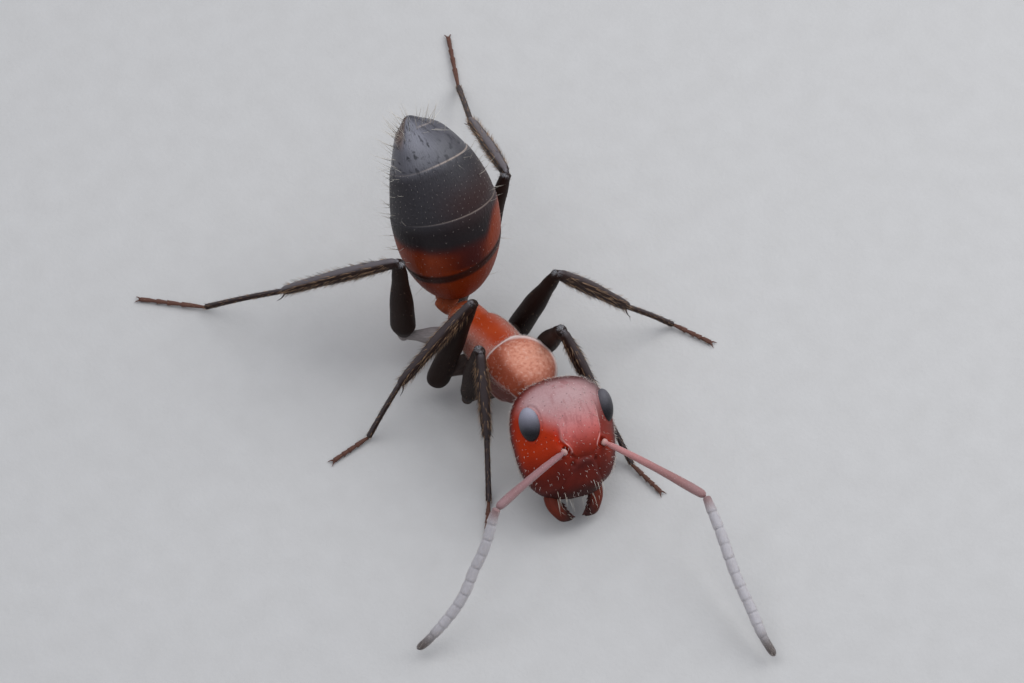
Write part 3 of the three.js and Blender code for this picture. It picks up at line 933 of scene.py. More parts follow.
LASH_JOINTS = (0.0, 0.1, 0.2, 0.295, 0.385, 0.475, 0.56, 0.64, 0.72, 0.795, 0.87, 1.0)
LASH_LENGTH = 4.2
shell = lash_shell = Finish("lash shell", Specular_IOR_Level=0.35, Sheen_Weight=0.4, Sheen_Roughness=0.4)
gone = shell.split()[0]
fuzz = shell.noise(22.0, 3.0, stretch=(0.6, 1.2, 1.2))
gaps = sum(shell.bell(gone, joint * LASH_LENGTH, 0.05) for joint in LASH_JOINTS[1:-1])
# The lash's pale grey is partly its fine down and partly a painted sheen of the sky.
lash_tone = shell.paint(
    shell.mix(fuzz, (0.36, 0.33, 0.33), (0.66, 0.62, 0.62)),
    (shell.step(gone, 0.5, 0.0), (0.28, 0.16, 0.15)),
    (shell.step(gone, 3.3, 4.05) * 0.9, (0.08, 0.055, 0.04)),
    (gaps * 0.1, (0.1, 0.08, 0.075)),
)
shell.set(Base_Color=lash_tone, Roughness=0.5 + 0.15 * fuzz)
shell.bump(fuzz, 0.008)
print("feeler finishes ready")

# %% Feelers
FEELERS = {  # places from the waist: the elbow, the bends of the lash and its tip
    "left": (
        (0.99, -7.53, 0.49), (0.91, -7.84, 0.34), (0.79, -8.3, 0.12), (0.63, -8.8, -0.12),
        (0.49, -9.29, -0.34), (0.39, -9.79, -0.56), (0.25, -10.37, -0.81), (0.2, -10.88, -1.02),
    ),
    "right": (
        (-3.07, -5.42, 1.33), (-3.22, -5.47, 1.14), (-3.44, -5.6, 0.85), (-3.69, -5.71, 0.56),
        (-4.0, -5.8, 0.25), (-4.34, -5.94, -0.07), (-4.67, -6.01, -0.34), (-5.06, -6.03, -0.62),
        (-5.47, -6.02, -0.88), (-5.7, -5.97, -1.02),
    ),
}


def make_scape(name, side, spot):
    """The first joint of a feeler, from its socket to the elbow, with a ball and a thin neck."""
    base = HEAD.out(np.array((*spot, face_height(*spot) - 0.03)))
    elbow = WAIST + FEELERS[side][0]
    way = elbow - base
    bow = np.array((0, 0, 0.05))
    spots = (base, base + way * 0.3 + bow, base + way * 0.65 + bow, elbow)
    stops = ((0, 0.08), (0.035, 0.08), (0.06, 0.045), (0.12, 0.068), (0.5, 0.084), (0.88, 0.106), (1, 0.095))
    return Shape().add(*limb(spots, 70, stops, (0.025, 0.05), (1.0, 0.95), 28)).make(name, scape_shells[side])


def make_lash(name, side):
    """The rest of a feeler, each joint swelling towards its end and pinched where it meets the next."""
    path = through(WAIST + np.array(FEELERS[side]), 260)
    gone = np.cumsum(np.r_[0, np.linalg.norm(np.diff(path, axis=0), axis=1)])
    share = gone / gone[-1]
    half = profile(share, (0, 0.095), (0.1, 0.115), (0.3, 0.124), (0.75, 0.12), (1, 0.09))
    for start, end in zip(LASH_JOINTS, LASH_JOINTS[1:]):
        inside = (share >= start) & (share <= end)
        local = np.clip((share - start) / (end - start), 0, 1)
        swell = 0.92 + 0.08 * local**0.7
        pinch = 0.08 * (bell(local, 0, 0.1) * (start > 0) + bell(local, 1, 0.08) * (end < 1))
        half = np.where(inside, half * (swell - pinch), half)
    half *= rounded(share, 0.012, 0.045)
    rings, places = tube(path, half, half, sides=24)
    places[..., 0] *= LASH_LENGTH / gone[-1]
    return Shape().add(rings, places).make(name, lash_shell)


scapes = {side: make_scape("scape_" + side, side, spot) for side, spot in zip(("right", "left"), SOCKETS)}
lashes = {side: make_lash("lash_" + side, side) for side in FEELERS}
print("feelers", [len(part.data.polygons) for part in (*scapes.values(), *lashes.values())])

# %% [markdown]
# ## Thorax
# The thorax is three arched plates grown together, with a short neck in front. Each is a rounded body.
# Joining them with a voxel remesh melts them into one skin and leaves a crease where they meet, just as the
# real seams run.


# %% Thorax finish
def over_skirt(up, spread):
    """Height over the hem of the first plate, which rises with the spread from the middle line."""
    return up - 0.12 - 0.3 * spread


def over_shield(side, along, up):
    """Height over the slanting edge of the first plate, for numbers and for node values alike."""
    return up - 0.18 - 0.27 * side - 0.37 * (along + 2.38)


shell = thorax_shell = Finish("thorax shell", Specular_IOR_Level=0.12)
shell.set(Sheen_Weight=0.06, Sheen_Roughness=0.25, Sheen_Tint=(1.0, 0.9, 0.84))
side, along, up = shell.split()
cloud, fine, mottle = shell.noise(1.7, 4.0), shell.noise(30.0, 3.0), shell.noise(13.0, 4.0)
stripe = shell.noise(11.0, 3.0, stretch=(0.5, 2.2, 0.5))
wide = side.size()
collar = shell.step(along, -1.74, -1.82)  # the first plate
disc = ((side - 0.14) * (side - 0.14) + (along + 2.54) * (along + 2.54)) ** 0.5  # from the middle of its top
# Painted shade: a dark crescent on the ant's right side of the first plate's top.
crescent_shade = shell.bell(disc + 0.15 * cloud, 0.74, 0.26) * shell.step(side, -0.15, -0.45)
# The first plate: orange, paling to peach at the middle of its top, where a sheen of the sky is painted in.
pronotum_tone_and_sheen = shell.paint(
    shell.mix(shell.step(disc + 0.3 * cloud, 1.05, 0.35), (0.36, 0.06, 0.024), (0.68, 0.29, 0.19)),
    (shell.step(mottle, 0.5, 0.66) * 0.4, (0.36, 0.07, 0.03)),
    (shell.step(mottle, 0.46, 0.34) * 0.35, (0.8, 0.5, 0.4)),
    (crescent_shade * 0.75, (0.2, 0.025, 0.004)),
)
# The flanks are pink with fine hairs; the right flank is painted lighter than the left, as painted light.
flank_tone_and_side_light = shell.mix(
    shell.step(side, 0.1, -0.3),
    shell.mix(stripe, (0.26, 0.07, 0.045), (0.56, 0.25, 0.19)),
    shell.mix(stripe, (0.26, 0.06, 0.04), (0.72, 0.32, 0.24)),
)
amber = shell.paint(
    shell.mix(cloud, (0.28, 0.018, 0.0), (0.42, 0.048, 0.001)),
    (shell.step(wide + 0.12 * mottle, 0.14, 0.56) * 0.9, flank_tone_and_side_light),
    (shell.step(along, -0.8, -0.1) * 0.85, shell.mix(stripe, (0.26, 0.045, 0.012), (0.6, 0.17, 0.07))),
)
skirt = over_skirt(up, shell.step(wide, 0.45, 0.72))
# Painted shade for the lower sides of the first plate, under its hem.
shade = shell.mix(mottle, (0.06, 0.014, 0.011), (0.22, 0.085, 0.072))
# Painted shade on the underside of the thorax behind the first plate.
belly_shade = shell.step(up, -0.05, -0.35) * shell.step(along, -0.1, -0.3) * (1 - collar)
shield = over_shield(side, along, up)
# A pale hind edge and a pale band along the outline and hem of the first plate: partly a real pale margin
# with fine hairs, partly a painted sheen where the hairs catch the light at the outline.
rim = shell.bell(shield, 0.16, 0.17) * shell.step(side, -0.1, 0.2) * collar
hem = shell.step(up, -0.08, -0.22) * 0.65 + shell.bell(skirt, 0.0, 0.05) * 0.3 * shell.step(cloud, 0.35, 0.6)
pale_edge_and_outline_sheen = shell.bell(along, -1.8, 0.05) + rim + collar * hem
thorax_tone = shell.paint(
    shell.mix(collar, amber, pronotum_tone_and_sheen),
    (shell.step(skirt + 0.1 * cloud, 0.14, -0.04) * collar * 0.92, shade),
    (belly_shade * 0.75, (0.09, 0.02, 0.012)),
    (0.05 * fine, (0.55, 0.33, 0.26)),
    (pale_edge_and_outline_sheen * 0.85, (0.92, 0.76, 0.7)),
)
shell.set(Base_Color=thorax_tone, Roughness=0.5 + 0.16 * fine)
shell.bump(fine + 0.5 * shell.cells(24.0), 0.006)
print("thorax finish ready")

# %% Thorax shape
THORAX_BODIES = {  # centre, radii and boxiness of each plate, in the thorax's own frame
    "pronotum": ((0, -2.38, 0.18), (0.775, 0.785, 0.605), 2.2),
    "mesothorax": ((0, -1.43, 0.05), (0.585, 0.83, 0.56), 2.6),
    "propodeum": ((0, -0.7, 0.01), (0.44, 0.665, 0.505), 2.4),
    "saddle": ((0, -1.05, 0.03), (0.5, 0.42, 0.52), 2.4),
    "neck": ((-0.03, -3.12, 0.02), (0.3, 0.42, 0.26), 2.0),
    "lobe_left": ((0.46, -2.33, -0.06), (0.3, 0.38, 0.28), 2.4),
    "lobe_right": ((-0.46, -2.33, -0.06), (0.3, 0.38, 0.28), 2.4),
    "breast": ((0, -1.5, -0.28), (0.42, 0.95, 0.26), 2.2),
}
VOXEL = 0.024


def melt(name, bodies, frame, finish, voxel, centre):
    """Joins rounded bodies into one skin, unwrapped round the frame's long axis through the centre."""
    shape = Shape()
    for place, radii, power in bodies:
        shape.add(frame.out(ovoid(place, radii, power)))
    rough = shape.make(name, finish)
    remesh = rough.modifiers.new("melt", "REMESH")
    remesh.mode, remesh.voxel_size = "VOXEL", voxel
    relax = rough.modifiers.new("relax", "SMOOTH")
    relax.factor, relax.iterations = 0.5, 5
    mesh = evaluated(rough)
    bpy.data.objects.remove(rough)
    mesh.materials.clear()
    places = frame.into(numbers(mesh.vertices, "co"))
    across, rise = places[:, 0] - centre[0], places[:, 2] - centre[2]
    around = np.arctan2(across, rise) / (2 * np.pi) + 0.5
    low, high = places[:, 1].min(), places[:, 1].max()
    corner = np.empty(len(mesh.loops), int)
    mesh.loops.foreach_get("vertex_index", corner)
    face = np.repeat(np.arange(len(mesh.polygons)), [len(polygon.vertices) for polygon in mesh.polygons])
    first = corner[np.r_[0, np.flatnonzero(np.diff(face)) + 1]][face]
    u = around[corner] + np.round(around[first] - around[corner])
    v = (places[corner, 1] - low) / (high - low)
    unwrap = np.clip(np.stack((0.01 + 0.98 * u, 0.01 + 0.98 * v), axis=1), 0, 1)
    mesh.uv_layers.new(name="Skin").uv.foreach_set("vector", unwrap.ravel())
    mesh.name = name
    return dress(name, mesh, places, finish)


thorax = melt("thorax", THORAX_BODIES.values(), THORAX, thorax_shell, VOXEL, (0, 0, 0.0))


def thorax_relief(side, along, up):
    """The seams, the breathing holes and the shallow saddle of the thorax."""
    wide = np.abs(side)
    rise = -0.006 * bell(along, -1.13, 0.035) * smooth(-0.35, 0.1, up)
    rise -= 0.02 * bell(along + 0.35 * up, -1.52, 0.03) * smooth(0.3, 0.1, up) * smooth(0.2, 0.4, wide)
    behind = smooth(-2.0, -1.8, along)
    rise -= 0.02 * bell(up + 0.25 * (along + 1), -0.12, 0.03) * behind * smooth(0.2, 0.35, wide)
    hole = np.hypot((along + 0.72) / 0.05, (up - 0.1) / 0.1)
    rise += smooth(0.3, 0.4, wide) * (0.02 * bell(hole, 1.1, 0.35) - 0.045 * bell(hole, 0, 0.6))
    hole = np.hypot((along + 1.2) / 0.04, (up - 0.12) / 0.06)
    return rise + smooth(0.35, 0.45, wide) * (0.012 * bell(hole, 1.1, 0.35) - 0.03 * bell(hole, 0, 0.6))


places = THORAX.into(points_of(thorax))
reshape(thorax, points_of(thorax) + normals_of(thorax) * thorax_relief(*places.T)[:, None])
print("thorax", len(thorax.data.polygons), "faces")

# %% [markdown]
# ## Waist
# Between thorax and gaster stands one upright scale on a thin stalk, the mark of this family of ants. A
# rounded body pinched towards its crest makes the scale, and two short bodies make the stalk on either side
# of it.

# %% Waist
PETIOLE_BODIES = (
    ((0, 0.24, -0.01), (0.33, 0.15, 0.345), 3.0),
    ((0, 0.04, -0.12), (0.2, 0.24, 0.18), 2.0),
    ((0.06, 0.36, 0.02), (0.24, 0.24, 0.22), 2.4),
)
petiole = melt("petiole", PETIOLE_BODIES, THORAX, thorax_shell, 0.02, (0, 0, -0.02))
places = THORAX.into(points_of(petiole))
squeezed = places.copy()
squeezed[:, 0] *= 0.4 + 0.6 * smooth(-0.4, 0.22, places[:, 2])
squeezed[:, 1] -= (places[:, 1] - 0.24) * 0.4 * smooth(0.0, 0.32, places[:, 2])
reshape(petiole, THORAX.out(squeezed))
print("petiole", len(petiole.data.polygons), "faces")

# %% [markdown]
# ## Gaster
# The gaster is an egg of five overlapping plates that bends towards the belly at its pointed tip. One rule
# gives the width at each share of the length. Each plate starts a little inside the one before it and ends
# in a thin lip, so the real overlap shows as a fine step. Below, the skin steps in where the belly plates
# tuck in under the back's.

# %% Gaster finish
GASTER_LENGTH, GASTER_WIDTH, GASTER_HEIGHT, GASTER_TAPER = 4.5, 2.5, 2.4, 0.27
GASTER_DROOP, DROOP_POWER = 0.85, 4.5
GASTER_INSET = 0.985  # the skin lies a little inside the solids
PLATE_ROWS, PLATE_SIDES = 60, 144
PLATE_EDGES = (  # share of the length at the middle of the back, tilt to the ant's left, dip down the sides
    (0.0, 0.0, 0.0), (0.318, 0.055, 0.0), (0.615, -0.012, 0.06),
    (0.85, -0.006, 0.06), (0.972, 0.0, 0.03), (1.0, 0.0, 0.0),
)


def plate_edge(number, sine, cosine):
    """Where a plate ends, for numbers and for node values alike."""
    middle, tilt, dip = PLATE_EDGES[number]
    return middle + tilt * sine - dip * (1 - cosine)


def over_the_back(right, dorsal):
    """From the right flank at -1 over the back to the left flank, for numbers and for node values alike."""
    return 0.83 * right + 0.56 * dorsal


shell = gaster_shell = Finish("gaster shell", Specular_IOR_Level=0.15, Coat_Roughness=0.42, Coat_IOR=1.6)
share, right, dorsal = shell.split()
past = {number: share - plate_edge(number, right, dorsal) for number in (1, 2, 3, 4)}
across = over_the_back(right, dorsal)
cloud = shell.noise(2.4, 4.0, stretch=(3.0, 1.2, 1.2))
fine = shell.noise(18.0, 3.0, stretch=(4.5, 1.3, 1.3))
orange = shell.mix(cloud, (0.16, 0.014, 0.001), (0.3, 0.042, 0.003))
maroon = shell.mix(cloud, (0.04, 0.005, 0.004), (0.07, 0.009, 0.007))
black = shell.mix(fine, (0.01, 0.007, 0.008), (0.022, 0.016, 0.017))
grey = shell.mix(fine, (0.02, 0.018, 0.019), (0.05, 0.045, 0.05))
reach = share + 0.03 * cloud - 0.12 * shell.step(across, 0.65, 0.98)
glow = shell.step(across, 0.4, -0.4) + shell.step(across, 0.5, 0.85)
warm = shell.mix(glow * shell.step(reach, 0.49, 0.41), maroon, orange)
band = shell.step(past[1] + 0.012 * fine, -0.045, -0.02) * shell.step(past[1], 0.024, 0.0)
# The third plate turns darker brown towards its left flank.
brown_towards_left = shell.step(across, -0.4, 0.7) * shell.bell(share, 0.66, 0.15)
lips = {2: 0.3 * shell.step(across, -1.0, 0.9), 3: 0.15 + 0.65 * shell.step(across, -0.3, 0.4), 4: 0.7}
# Painted reflection: a pale bluish sheen of the sky over the last plates, stronger towards the tip, with real
# gloss from the coat.
gleam = shell.step(past[3], -0.04, 0.03) * (1 - 0.5 * shell.step(across, 0.1, 0.8))
specks = shell.step(shell.noise(9.0, 3.0, stretch=(4.5, 0.6, 0.6)), 0.52, 0.68) * gleam
blunt = shell.step(share, 0.88, 0.93) * shell.step(across, -0.62, -0.85)
gaster_tone = shell.paint(
    orange,
    (shell.step(share, 0.3, 0.34), warm),
    (shell.step(reach, 0.44, 0.51), black),
    (shell.step(past[2], -0.06, 0.01), grey),
    (band * 0.9, (0.012, 0.004, 0.003)),
    (brown_towards_left * 0.75, (0.038, 0.014, 0.011)),
    *((shell.bell(past[plate], -0.001, 0.0045) * lip, (0.45, 0.35, 0.28)) for plate, lip in lips.items()),
    (gleam * (0.42 + 0.58 * shell.step(share, 0.86, 0.97)), (0.16, 0.155, 0.18)),
    (blunt * 0.7, (0.14, 0.075, 0.04)),
    (specks * 0.8, (0.006, 0.006, 0.008)),
)
shell.set(Base_Color=gaster_tone, Roughness=0.4 + 0.16 * fine, Coat_Weight=0.08 + 0.9 * gleam - 0.6 * specks)
shell.bump((fine + 0.5 * shell.cells(20.0)) * (0.8 + 0.5 * gleam) - 1.0 * specks, 0.014)
print("gaster finish ready")


# %% Gaster shape
def gaster_half_width(share):
    """Half the gaster's width at a share of its length, counted from the waist."""
    oval = np.sqrt(np.maximum(1 - (2 * share - 1) ** 2, 0))
    return GASTER_WIDTH / 2 * oval * (1 - GASTER_TAPER * share**4)


def gaster_skin(share, angle):
    """Points of the gaster at shares of its length and angles from the middle of its back."""
    bend = smooth(0.9, 1.0, share)  # the tip narrows and bends to the ant's right
    half = GASTER_INSET * gaster_half_width(share) * (1 - 0.3 * bend)
    half = half * (1 - 0.02 * smooth(2.0, 2.15, np.abs(angle)))  # the step to the belly plates
    flat = GASTER_HEIGHT / GASTER_WIDTH
    height = half * np.cos(angle) * flat - GASTER_DROOP * share**DROOP_POWER
    crosswise = half * np.sin(angle) - 0.06 * bend
    return np.stack((crosswise, GASTER_LENGTH * share - 0.04 * bend + 0 * angle, height), axis=2)


def make_plate(number):
    """One plate of the gaster, from under the plate before it to its own lip."""
    angle = np.linspace(-np.pi, np.pi, PLATE_SIDES, endpoint=False)[None]
    start, end = (plate_edge(edge, np.sin(angle), np.cos(angle)) for edge in (number - 1, number))
    start = np.maximum(start - 0.02, 0.0015)
    end = np.minimum(end, 0.998)
    share = start + (end - start) * ((1 - np.cos(np.linspace(0.0, np.pi, PLATE_ROWS))) / 2)[:, None]
    skin = gaster_skin(share, angle)
    spine = skin.mean(axis=1, keepdims=True)
    # The skin lies low where the plate before laps over it, rises towards the lip and curls in at the edge.
    lap = smooth(0.06, 0.0, share - start) if number > 1 else 0 * share
    step = 0.012 * (smooth(-0.12, -0.012, share - end) - lap) - 0.018 * smooth(-0.006, 0, share - end)
    step = step * (1.0 if number in (2, 3) else 0.5)  # flatter on the first plate and at the tip
    reach = np.linalg.norm(skin - spine, axis=2, keepdims=True)
    skin = spine + (skin - spine) * (1 + step[..., None] / np.maximum(reach, 0.05))
    places = np.stack((share + 0 * angle, np.sin(angle) + 0 * share, np.cos(angle) + 0 * share), axis=2)
    return Shape().add(GASTER.out(skin), places).make(f"gaster_{number}", gaster_shell)


plates = [make_plate(number) for number in range(1, 6)]
print("gaster", [len(plate.data.polygons) for plate in plates])

# %% [markdown]
# ## Legs
# Each leg has a thick root joint, a small ring joint, a smooth strong thigh, a flattened shin that starts
# thin at the knee, a long foot joint and four short toe joints that end in two claws. Every joint is a tube
# with its own width rule. The knees and ankles follow from the lengths and headings, as in the solids, so
# one function builds all six.

# %% Leg finish
shell = leg_shell = Finish("leg shell", Specular_IOR_Level=0.12, Coat_Roughness=0.25)
gone, _, top = shell.split()
grain = shell.noise(10.0, 3.0, stretch=(0.25, 1.3, 1.3))
fine = shell.noise(30.0, 2.0, stretch=(0.6, 1.5, 1.5))
# Painted highlight: pale patches on the top of the thigh by the knee, with real gloss from the coat.
knee = shell.step(gone, 0.12, 0.03) * shell.step(top, 0.1, 0.7)
leg_tone = shell.paint(
    shell.mix(grain, (0.006, 0.003, 0.002), (0.022, 0.009, 0.006)),
    (0.2 * fine, (0.06, 0.03, 0.022)),
    (knee * shell.step(grain, 0.5, 0.6), (0.3, 0.3, 0.31)),
)
shell.set(Base_Color=leg_tone, Roughness=0.42 + 0.16 * fine, Coat_Weight=0.8 * knee)
shell.bump(fine + 0.5 * grain, 0.006)

# Lit and shaded copies of one finish: the lighter is for the hind right root joint, which stands in the
# light, the darker for the root joints in shade. The difference is painted light and shade.
HIP_TONES = {  # dark and light of the grain
    "hip shell": ((0.018, 0.01, 0.008), (0.1, 0.065, 0.052)),
    "lit hip shell": ((0.13, 0.108, 0.1), (0.42, 0.37, 0.35)),
}
hip_shells = {}
for name, tones in HIP_TONES.items():
    shell = hip_shells[name] = Finish(name, Specular_IOR_Level=0.2)
    grain = shell.noise(7.0, 3.0)
    shell.set(Base_Color=shell.mix(grain, *tones), Roughness=0.45 + 0.15 * grain)
    shell.bump(grain, 0.008)

# Painted highlight: the top of each shin is painted grey, most strongly on the hind shins.
SHIN_HIGHLIGHTS = {"shin shell": 0.25, "hind shin shell, brighter painted highlight": 0.75}  # how far the top of the shin greys
shin_shells = {}
for name, ridge_highlight in SHIN_HIGHLIGHTS.items():
    shell = shin_shells[name] = Finish(name, Specular_IOR_Level=0.2, Coat_Roughness=0.25)
    gone, _, top = shell.split()
    grain = shell.noise(12.0, 3.0, stretch=(0.2, 1.3, 1.3))
    # Painted highlight: pale patches on the shin by the knee.
    knee = shell.step(gone, 0.12, 0.03) * shell.step(grain, 0.5, 0.62) * 0.7
    shin_tone = shell.paint(
        shell.mix(grain, (0.007, 0.003, 0.002), (0.04, 0.015, 0.01)),
        (shell.step(top, 0.6, 0.97) * ridge_highlight, (0.2, 0.175, 0.18)),
        (knee, (0.3, 0.29, 0.3)),
    )
    shell.set(Base_Color=shin_tone, Roughness=0.4 + 0.2 * grain)
    shell.bump(grain, 0.012)

shell = toe_shell = Finish("toe shell", Specular_IOR_Level=0.3)
grain = shell.noise(14.0, 3.0, stretch=(0.3, 1.3, 1.3))
shell.set(Base_Color=shell.mix(grain, (0.06, 0.022, 0.015), (0.2, 0.085, 0.055)), Roughness=0.4 + 0.2 * grain)
shell.bump(grain, 0.008)
print("leg finishes ready")

# %% Leg skeleton
PAIRS = {  # root, hip side, hip along and hip height from the waist, then the lengths of the four long joints
    "fore": {"root": 2.1, "hip": (0.95, 1.68, 0.57), "lengths": (2.49, 2.28, 1.33, 1.0)},
    "middle": {"root": 1.2, "hip": (1.16, 0.92, 0.72), "lengths": (2.74, 2.73, 1.42, 1.04)},
    "hind": {"root": 0.5, "hip": (1.12, -0.38, 0.85), "lengths": (2.73, 3.33, 2.36, 1.61)},
}
STANCE = {  # headings of the four joints in degrees forward of straight out, heights of knee and ankle
    "fore_left": ((96.1, 77.3, 95.3, 86.3), 2.81, 0.85),
    "fore_right": ((86.5, 60.9, 53.7, 48.3), 3.01, 0.92),
    "middle_left": ((69.5, 17.1, 23.4, 67.2), 3.3, 1.16),
    "middle_right": ((154.4, -12.3, 0.8, -0.2), 3.34, 1.31),
    "hind_left": ((-21.7, -68.1, -59.9, -61), 3.17, 1.47),
    "hind_right": ((-60, -51.5, -58.4, -47.9), 3.579, 1.62),
}
DRAWN_BACK = {"hind_left": (1.05, -0.6, 0.83)}  # the hip of this leg, drawn back beside the gaster
COXA_SIDE, COXA_UP, METATARSUS_END, TOE_HEIGHT = 0.34, -0.28, 0.2, 0.11


def reach_to(start, length, heading, height, sign):
    """The far end of a joint that starts here and ends at this height."""
    drop = height - start[2]
    ground = math.sqrt(length * length - drop * drop)
    heading = math.radians(heading)
    out, forward = sign * ground * math.cos(heading), ground * math.sin(heading)
    return np.array((start[0] + out, start[1] - forward, height))


def leg_joints(pair, side):
    """The ends of the joints of one leg: root, hip, knee, ankle, heel and toe."""
    sign = OUT[side]
    sizes = PAIRS[pair]
    headings, knee, ankle = STANCE[f"{pair}_{side}"]
    out, forward, height = DRAWN_BACK.get(f"{pair}_{side}", sizes["hip"])
    spots = [
        WAIST + (sign * COXA_SIDE, -sizes["root"], COXA_UP),
        np.array((WAIST[0] + sign * out, WAIST[1] - forward, height)),
    ]
    for length, heading, height in zip(sizes["lengths"], headings, (knee, ankle, METATARSUS_END, TOE_HEIGHT)):
        spots.append(reach_to(spots[-1], length, heading, height, sign))
    return spots


print("hind right leg:", [spot.round(2).tolist() for spot in leg_joints("hind", "right")])

# %% Legs
THIGH_WIDTHS = {  # half heights along the thigh
    "fore": ((0, 0.14), (0.12, 0.21), (0.4, 0.24), (0.75, 0.175), (1, 0.13)),
    "middle": ((0, 0.22), (0.08, 0.27), (0.35, 0.25), (0.7, 0.17), (1, 0.12)),
    "hind": ((0, 0.15), (0.12, 0.29), (0.3, 0.275), (0.7, 0.185), (1, 0.13)),
}
TILES = {  # share of the leg's unwrap
    "coxa": (0, 0.18), "femur": (0.18, 0.42), "tibia": (0.42, 0.66),
    "metatarsus": (0.66, 0.84), "tarsus": (0.84, 1),
}
TOE_SHARES = (0.0, 0.36, 0.58, 0.74, 1.0)
CLAW_ROOM = 0.1  # share of the toes that is left for the claws
TOE_PARTS = 7  # four joints, two claws and a pad
BENT_IN = {"coxa_hind_left": (-0.3, 0.25, -0.1)}  # this root joint curves back under the waist
REACH_IN = {"femur_middle_left": 0.45, "femur_middle_right": 0.25}  # how far these start under the thorax


def within(joint, part, parts):
    """One of several equal parts of a joint's tile of the unwrap."""
    start, end = TILES[joint]
    size = (end - start) / parts
    return (start + part * size, start + (part + 1) * size)


def make_coxa(name, root, hip, knee):
    """The root joint, and the small ring joint that turns on it."""
    middle = (root + hip) / 2 + BENT_IN.get(name, (0, 0, 0.03))
    widths = ((0, 0.2), (0.35, 0.22), (0.85, 0.11), (1, 0.1))
    shape = Shape().add(*limb((root, middle, hip), 26, widths, (0.1, 0.12), sides=24), within("coxa", 0, 2))
    way = unit(knee - hip)
    ring = (hip - way * 0.12, hip, hip + way * 0.2)
    widths = ((0, 0.09), (0.5, 0.13), (1, 0.12))
    shape.add(*limb(ring, 20, widths, (0.2, 0.2), sides=24), within("coxa", 1, 2))
    return shape.make(name, hip_shells["lit hip shell" if name == "coxa_hind_right" else "hip shell"])


def make_femur(name, pair, hip, knee):
    """The thigh. Its places are counted from the knee, like the shin's."""
    length = np.linalg.norm(knee - hip)
    hip = hip - (knee - hip) * REACH_IN.get(name, 0.0) / length
    way = knee - hip
    spots = (hip, hip + way * 0.4 + (0, 0, 0.05), hip + way * 0.75 + (0, 0, 0.03), knee)
    knob = 1 + 0.1 * bell(np.linspace(0, 1, 70), 1 - 0.07 / length, 0.025)
    rings, places = limb(spots, 70, THIGH_WIDTHS[pair], (0.04, 0.03), (0.88, 1.0), 28, knob)
    places[..., 0] = places[..., 0].max() - places[..., 0]
    return Shape().add(rings, places, TILES["femur"]).make(name, leg_shell)


def make_tibia(name, pair, knee, ankle):
    """The shin, with one spur at the ankle of a fore leg and two on the others."""
    way = ankle - knee
    spots = (knee, knee + way * 0.1, knee + way * 0.5 + (0, 0, 0.03), ankle)
    length = np.linalg.norm(way)
    neck = 0.12 / length
    widths = ((0, 0.1), (neck * 0.5, 0.1), (neck * 1.3, 0.065))  # a thin neck just below the knee
    widths += ((0.3, 0.135), (0.6, 0.165), (0.88, 0.135), (1, 0.105))
    shape = Shape().add(*limb(spots, 70, widths, (0.03, 0.03), (0.85, 1.0), 48), within("tibia", 0, 2))
    way = way / length
    sideways = unit(np.cross(way, (0, 0, 1)))
    below = np.cross(way, sideways)
    below = below * (-1 if below[2] > 0 else 1)
    for part, turn in enumerate((0.5, -0.5) if pair != "fore" else (0.0,)):
        lean = below * 0.5 + sideways * turn * 0.7
        start = ankle - way * 0.08 + (below * 0.05 + sideways * turn * 0.08)
        spur = (start, start + way * 0.14 + lean * 0.14, start + way * 0.3 + lean * 0.2)
        rings, places = limb(spur, 12, ((0, 0.02), (1, 0.005)), (0.05, 0.1), sides=8)
        shape.add(rings, places, within("tibia", 2 + part, 4))
    return shape.make(name, shin_shells["hind shin shell, brighter painted highlight" if pair == "hind" else "shin shell"])


def make_metatarsus(name, ankle, heel):
    """The long foot joint."""
    way = heel - ankle
    spots = (ankle - way * 0.04, ankle + way * 0.5 + (0, 0, 0.03), heel)
    widths = ((0, 0.05), (0.06, 0.062), (0.6, 0.06), (0.95, 0.066), (1, 0.06))
    shape = Shape().add(*limb(spots, 40, widths, (0.03, 0.03), sides=18), TILES["metatarsus"])
    return shape.make(name, shin_shells["shin shell"])


def make_tarsus(name, heel, toe):
    """Four toe joints, two claws and the pad between them."""
    shape = Shape()
    toe = toe - (toe - heel) * CLAW_ROOM
    for part, (start, end) in enumerate(zip(TOE_SHARES, TOE_SHARES[1:])):
        begin, finish = heel + (toe - heel) * (start - 0.03), heel + (toe - heel) * (end + 0.02)
        spots = (begin, (begin + finish) / 2 + (0, 0, 0.012), finish)
        widths = ((0, 0.034), (0.7, 0.05), (0.92, 0.06 if part < 3 else 0.052), (1, 0.045))
        shape.add(*limb(spots, 16, widths, (0.06, 0.06), sides=14), within("tarsus", part, TOE_PARTS))
    way = unit(toe - heel)
    for part, sign in enumerate((1, -1)):
        spread = np.cross(way, (0, 0, 1)) * sign
        point = toe + way * 0.13 + spread * 0.08 - (0, 0, 0.03)
        claw = (toe - way * 0.03, toe + way * 0.07 + spread * 0.05, point)
        rings, places = limb(claw, 12, ((0, 0.022), (1, 0.006)), (0.05, 0.08), sides=8)
        shape.add(rings, places, within("tarsus", 4 + part, TOE_PARTS))
    pad = (toe - way * 0.04, toe, toe + way * 0.05 - (0, 0, 0.01))
    rings, places = limb(pad, 12, ((0, 0.02), (0.6, 0.03), (1, 0.026)), (0.2, 0.3), sides=8)
    shape.add(rings, places, within("tarsus", 6, TOE_PARTS))
    return shape.make(name, toe_shell)


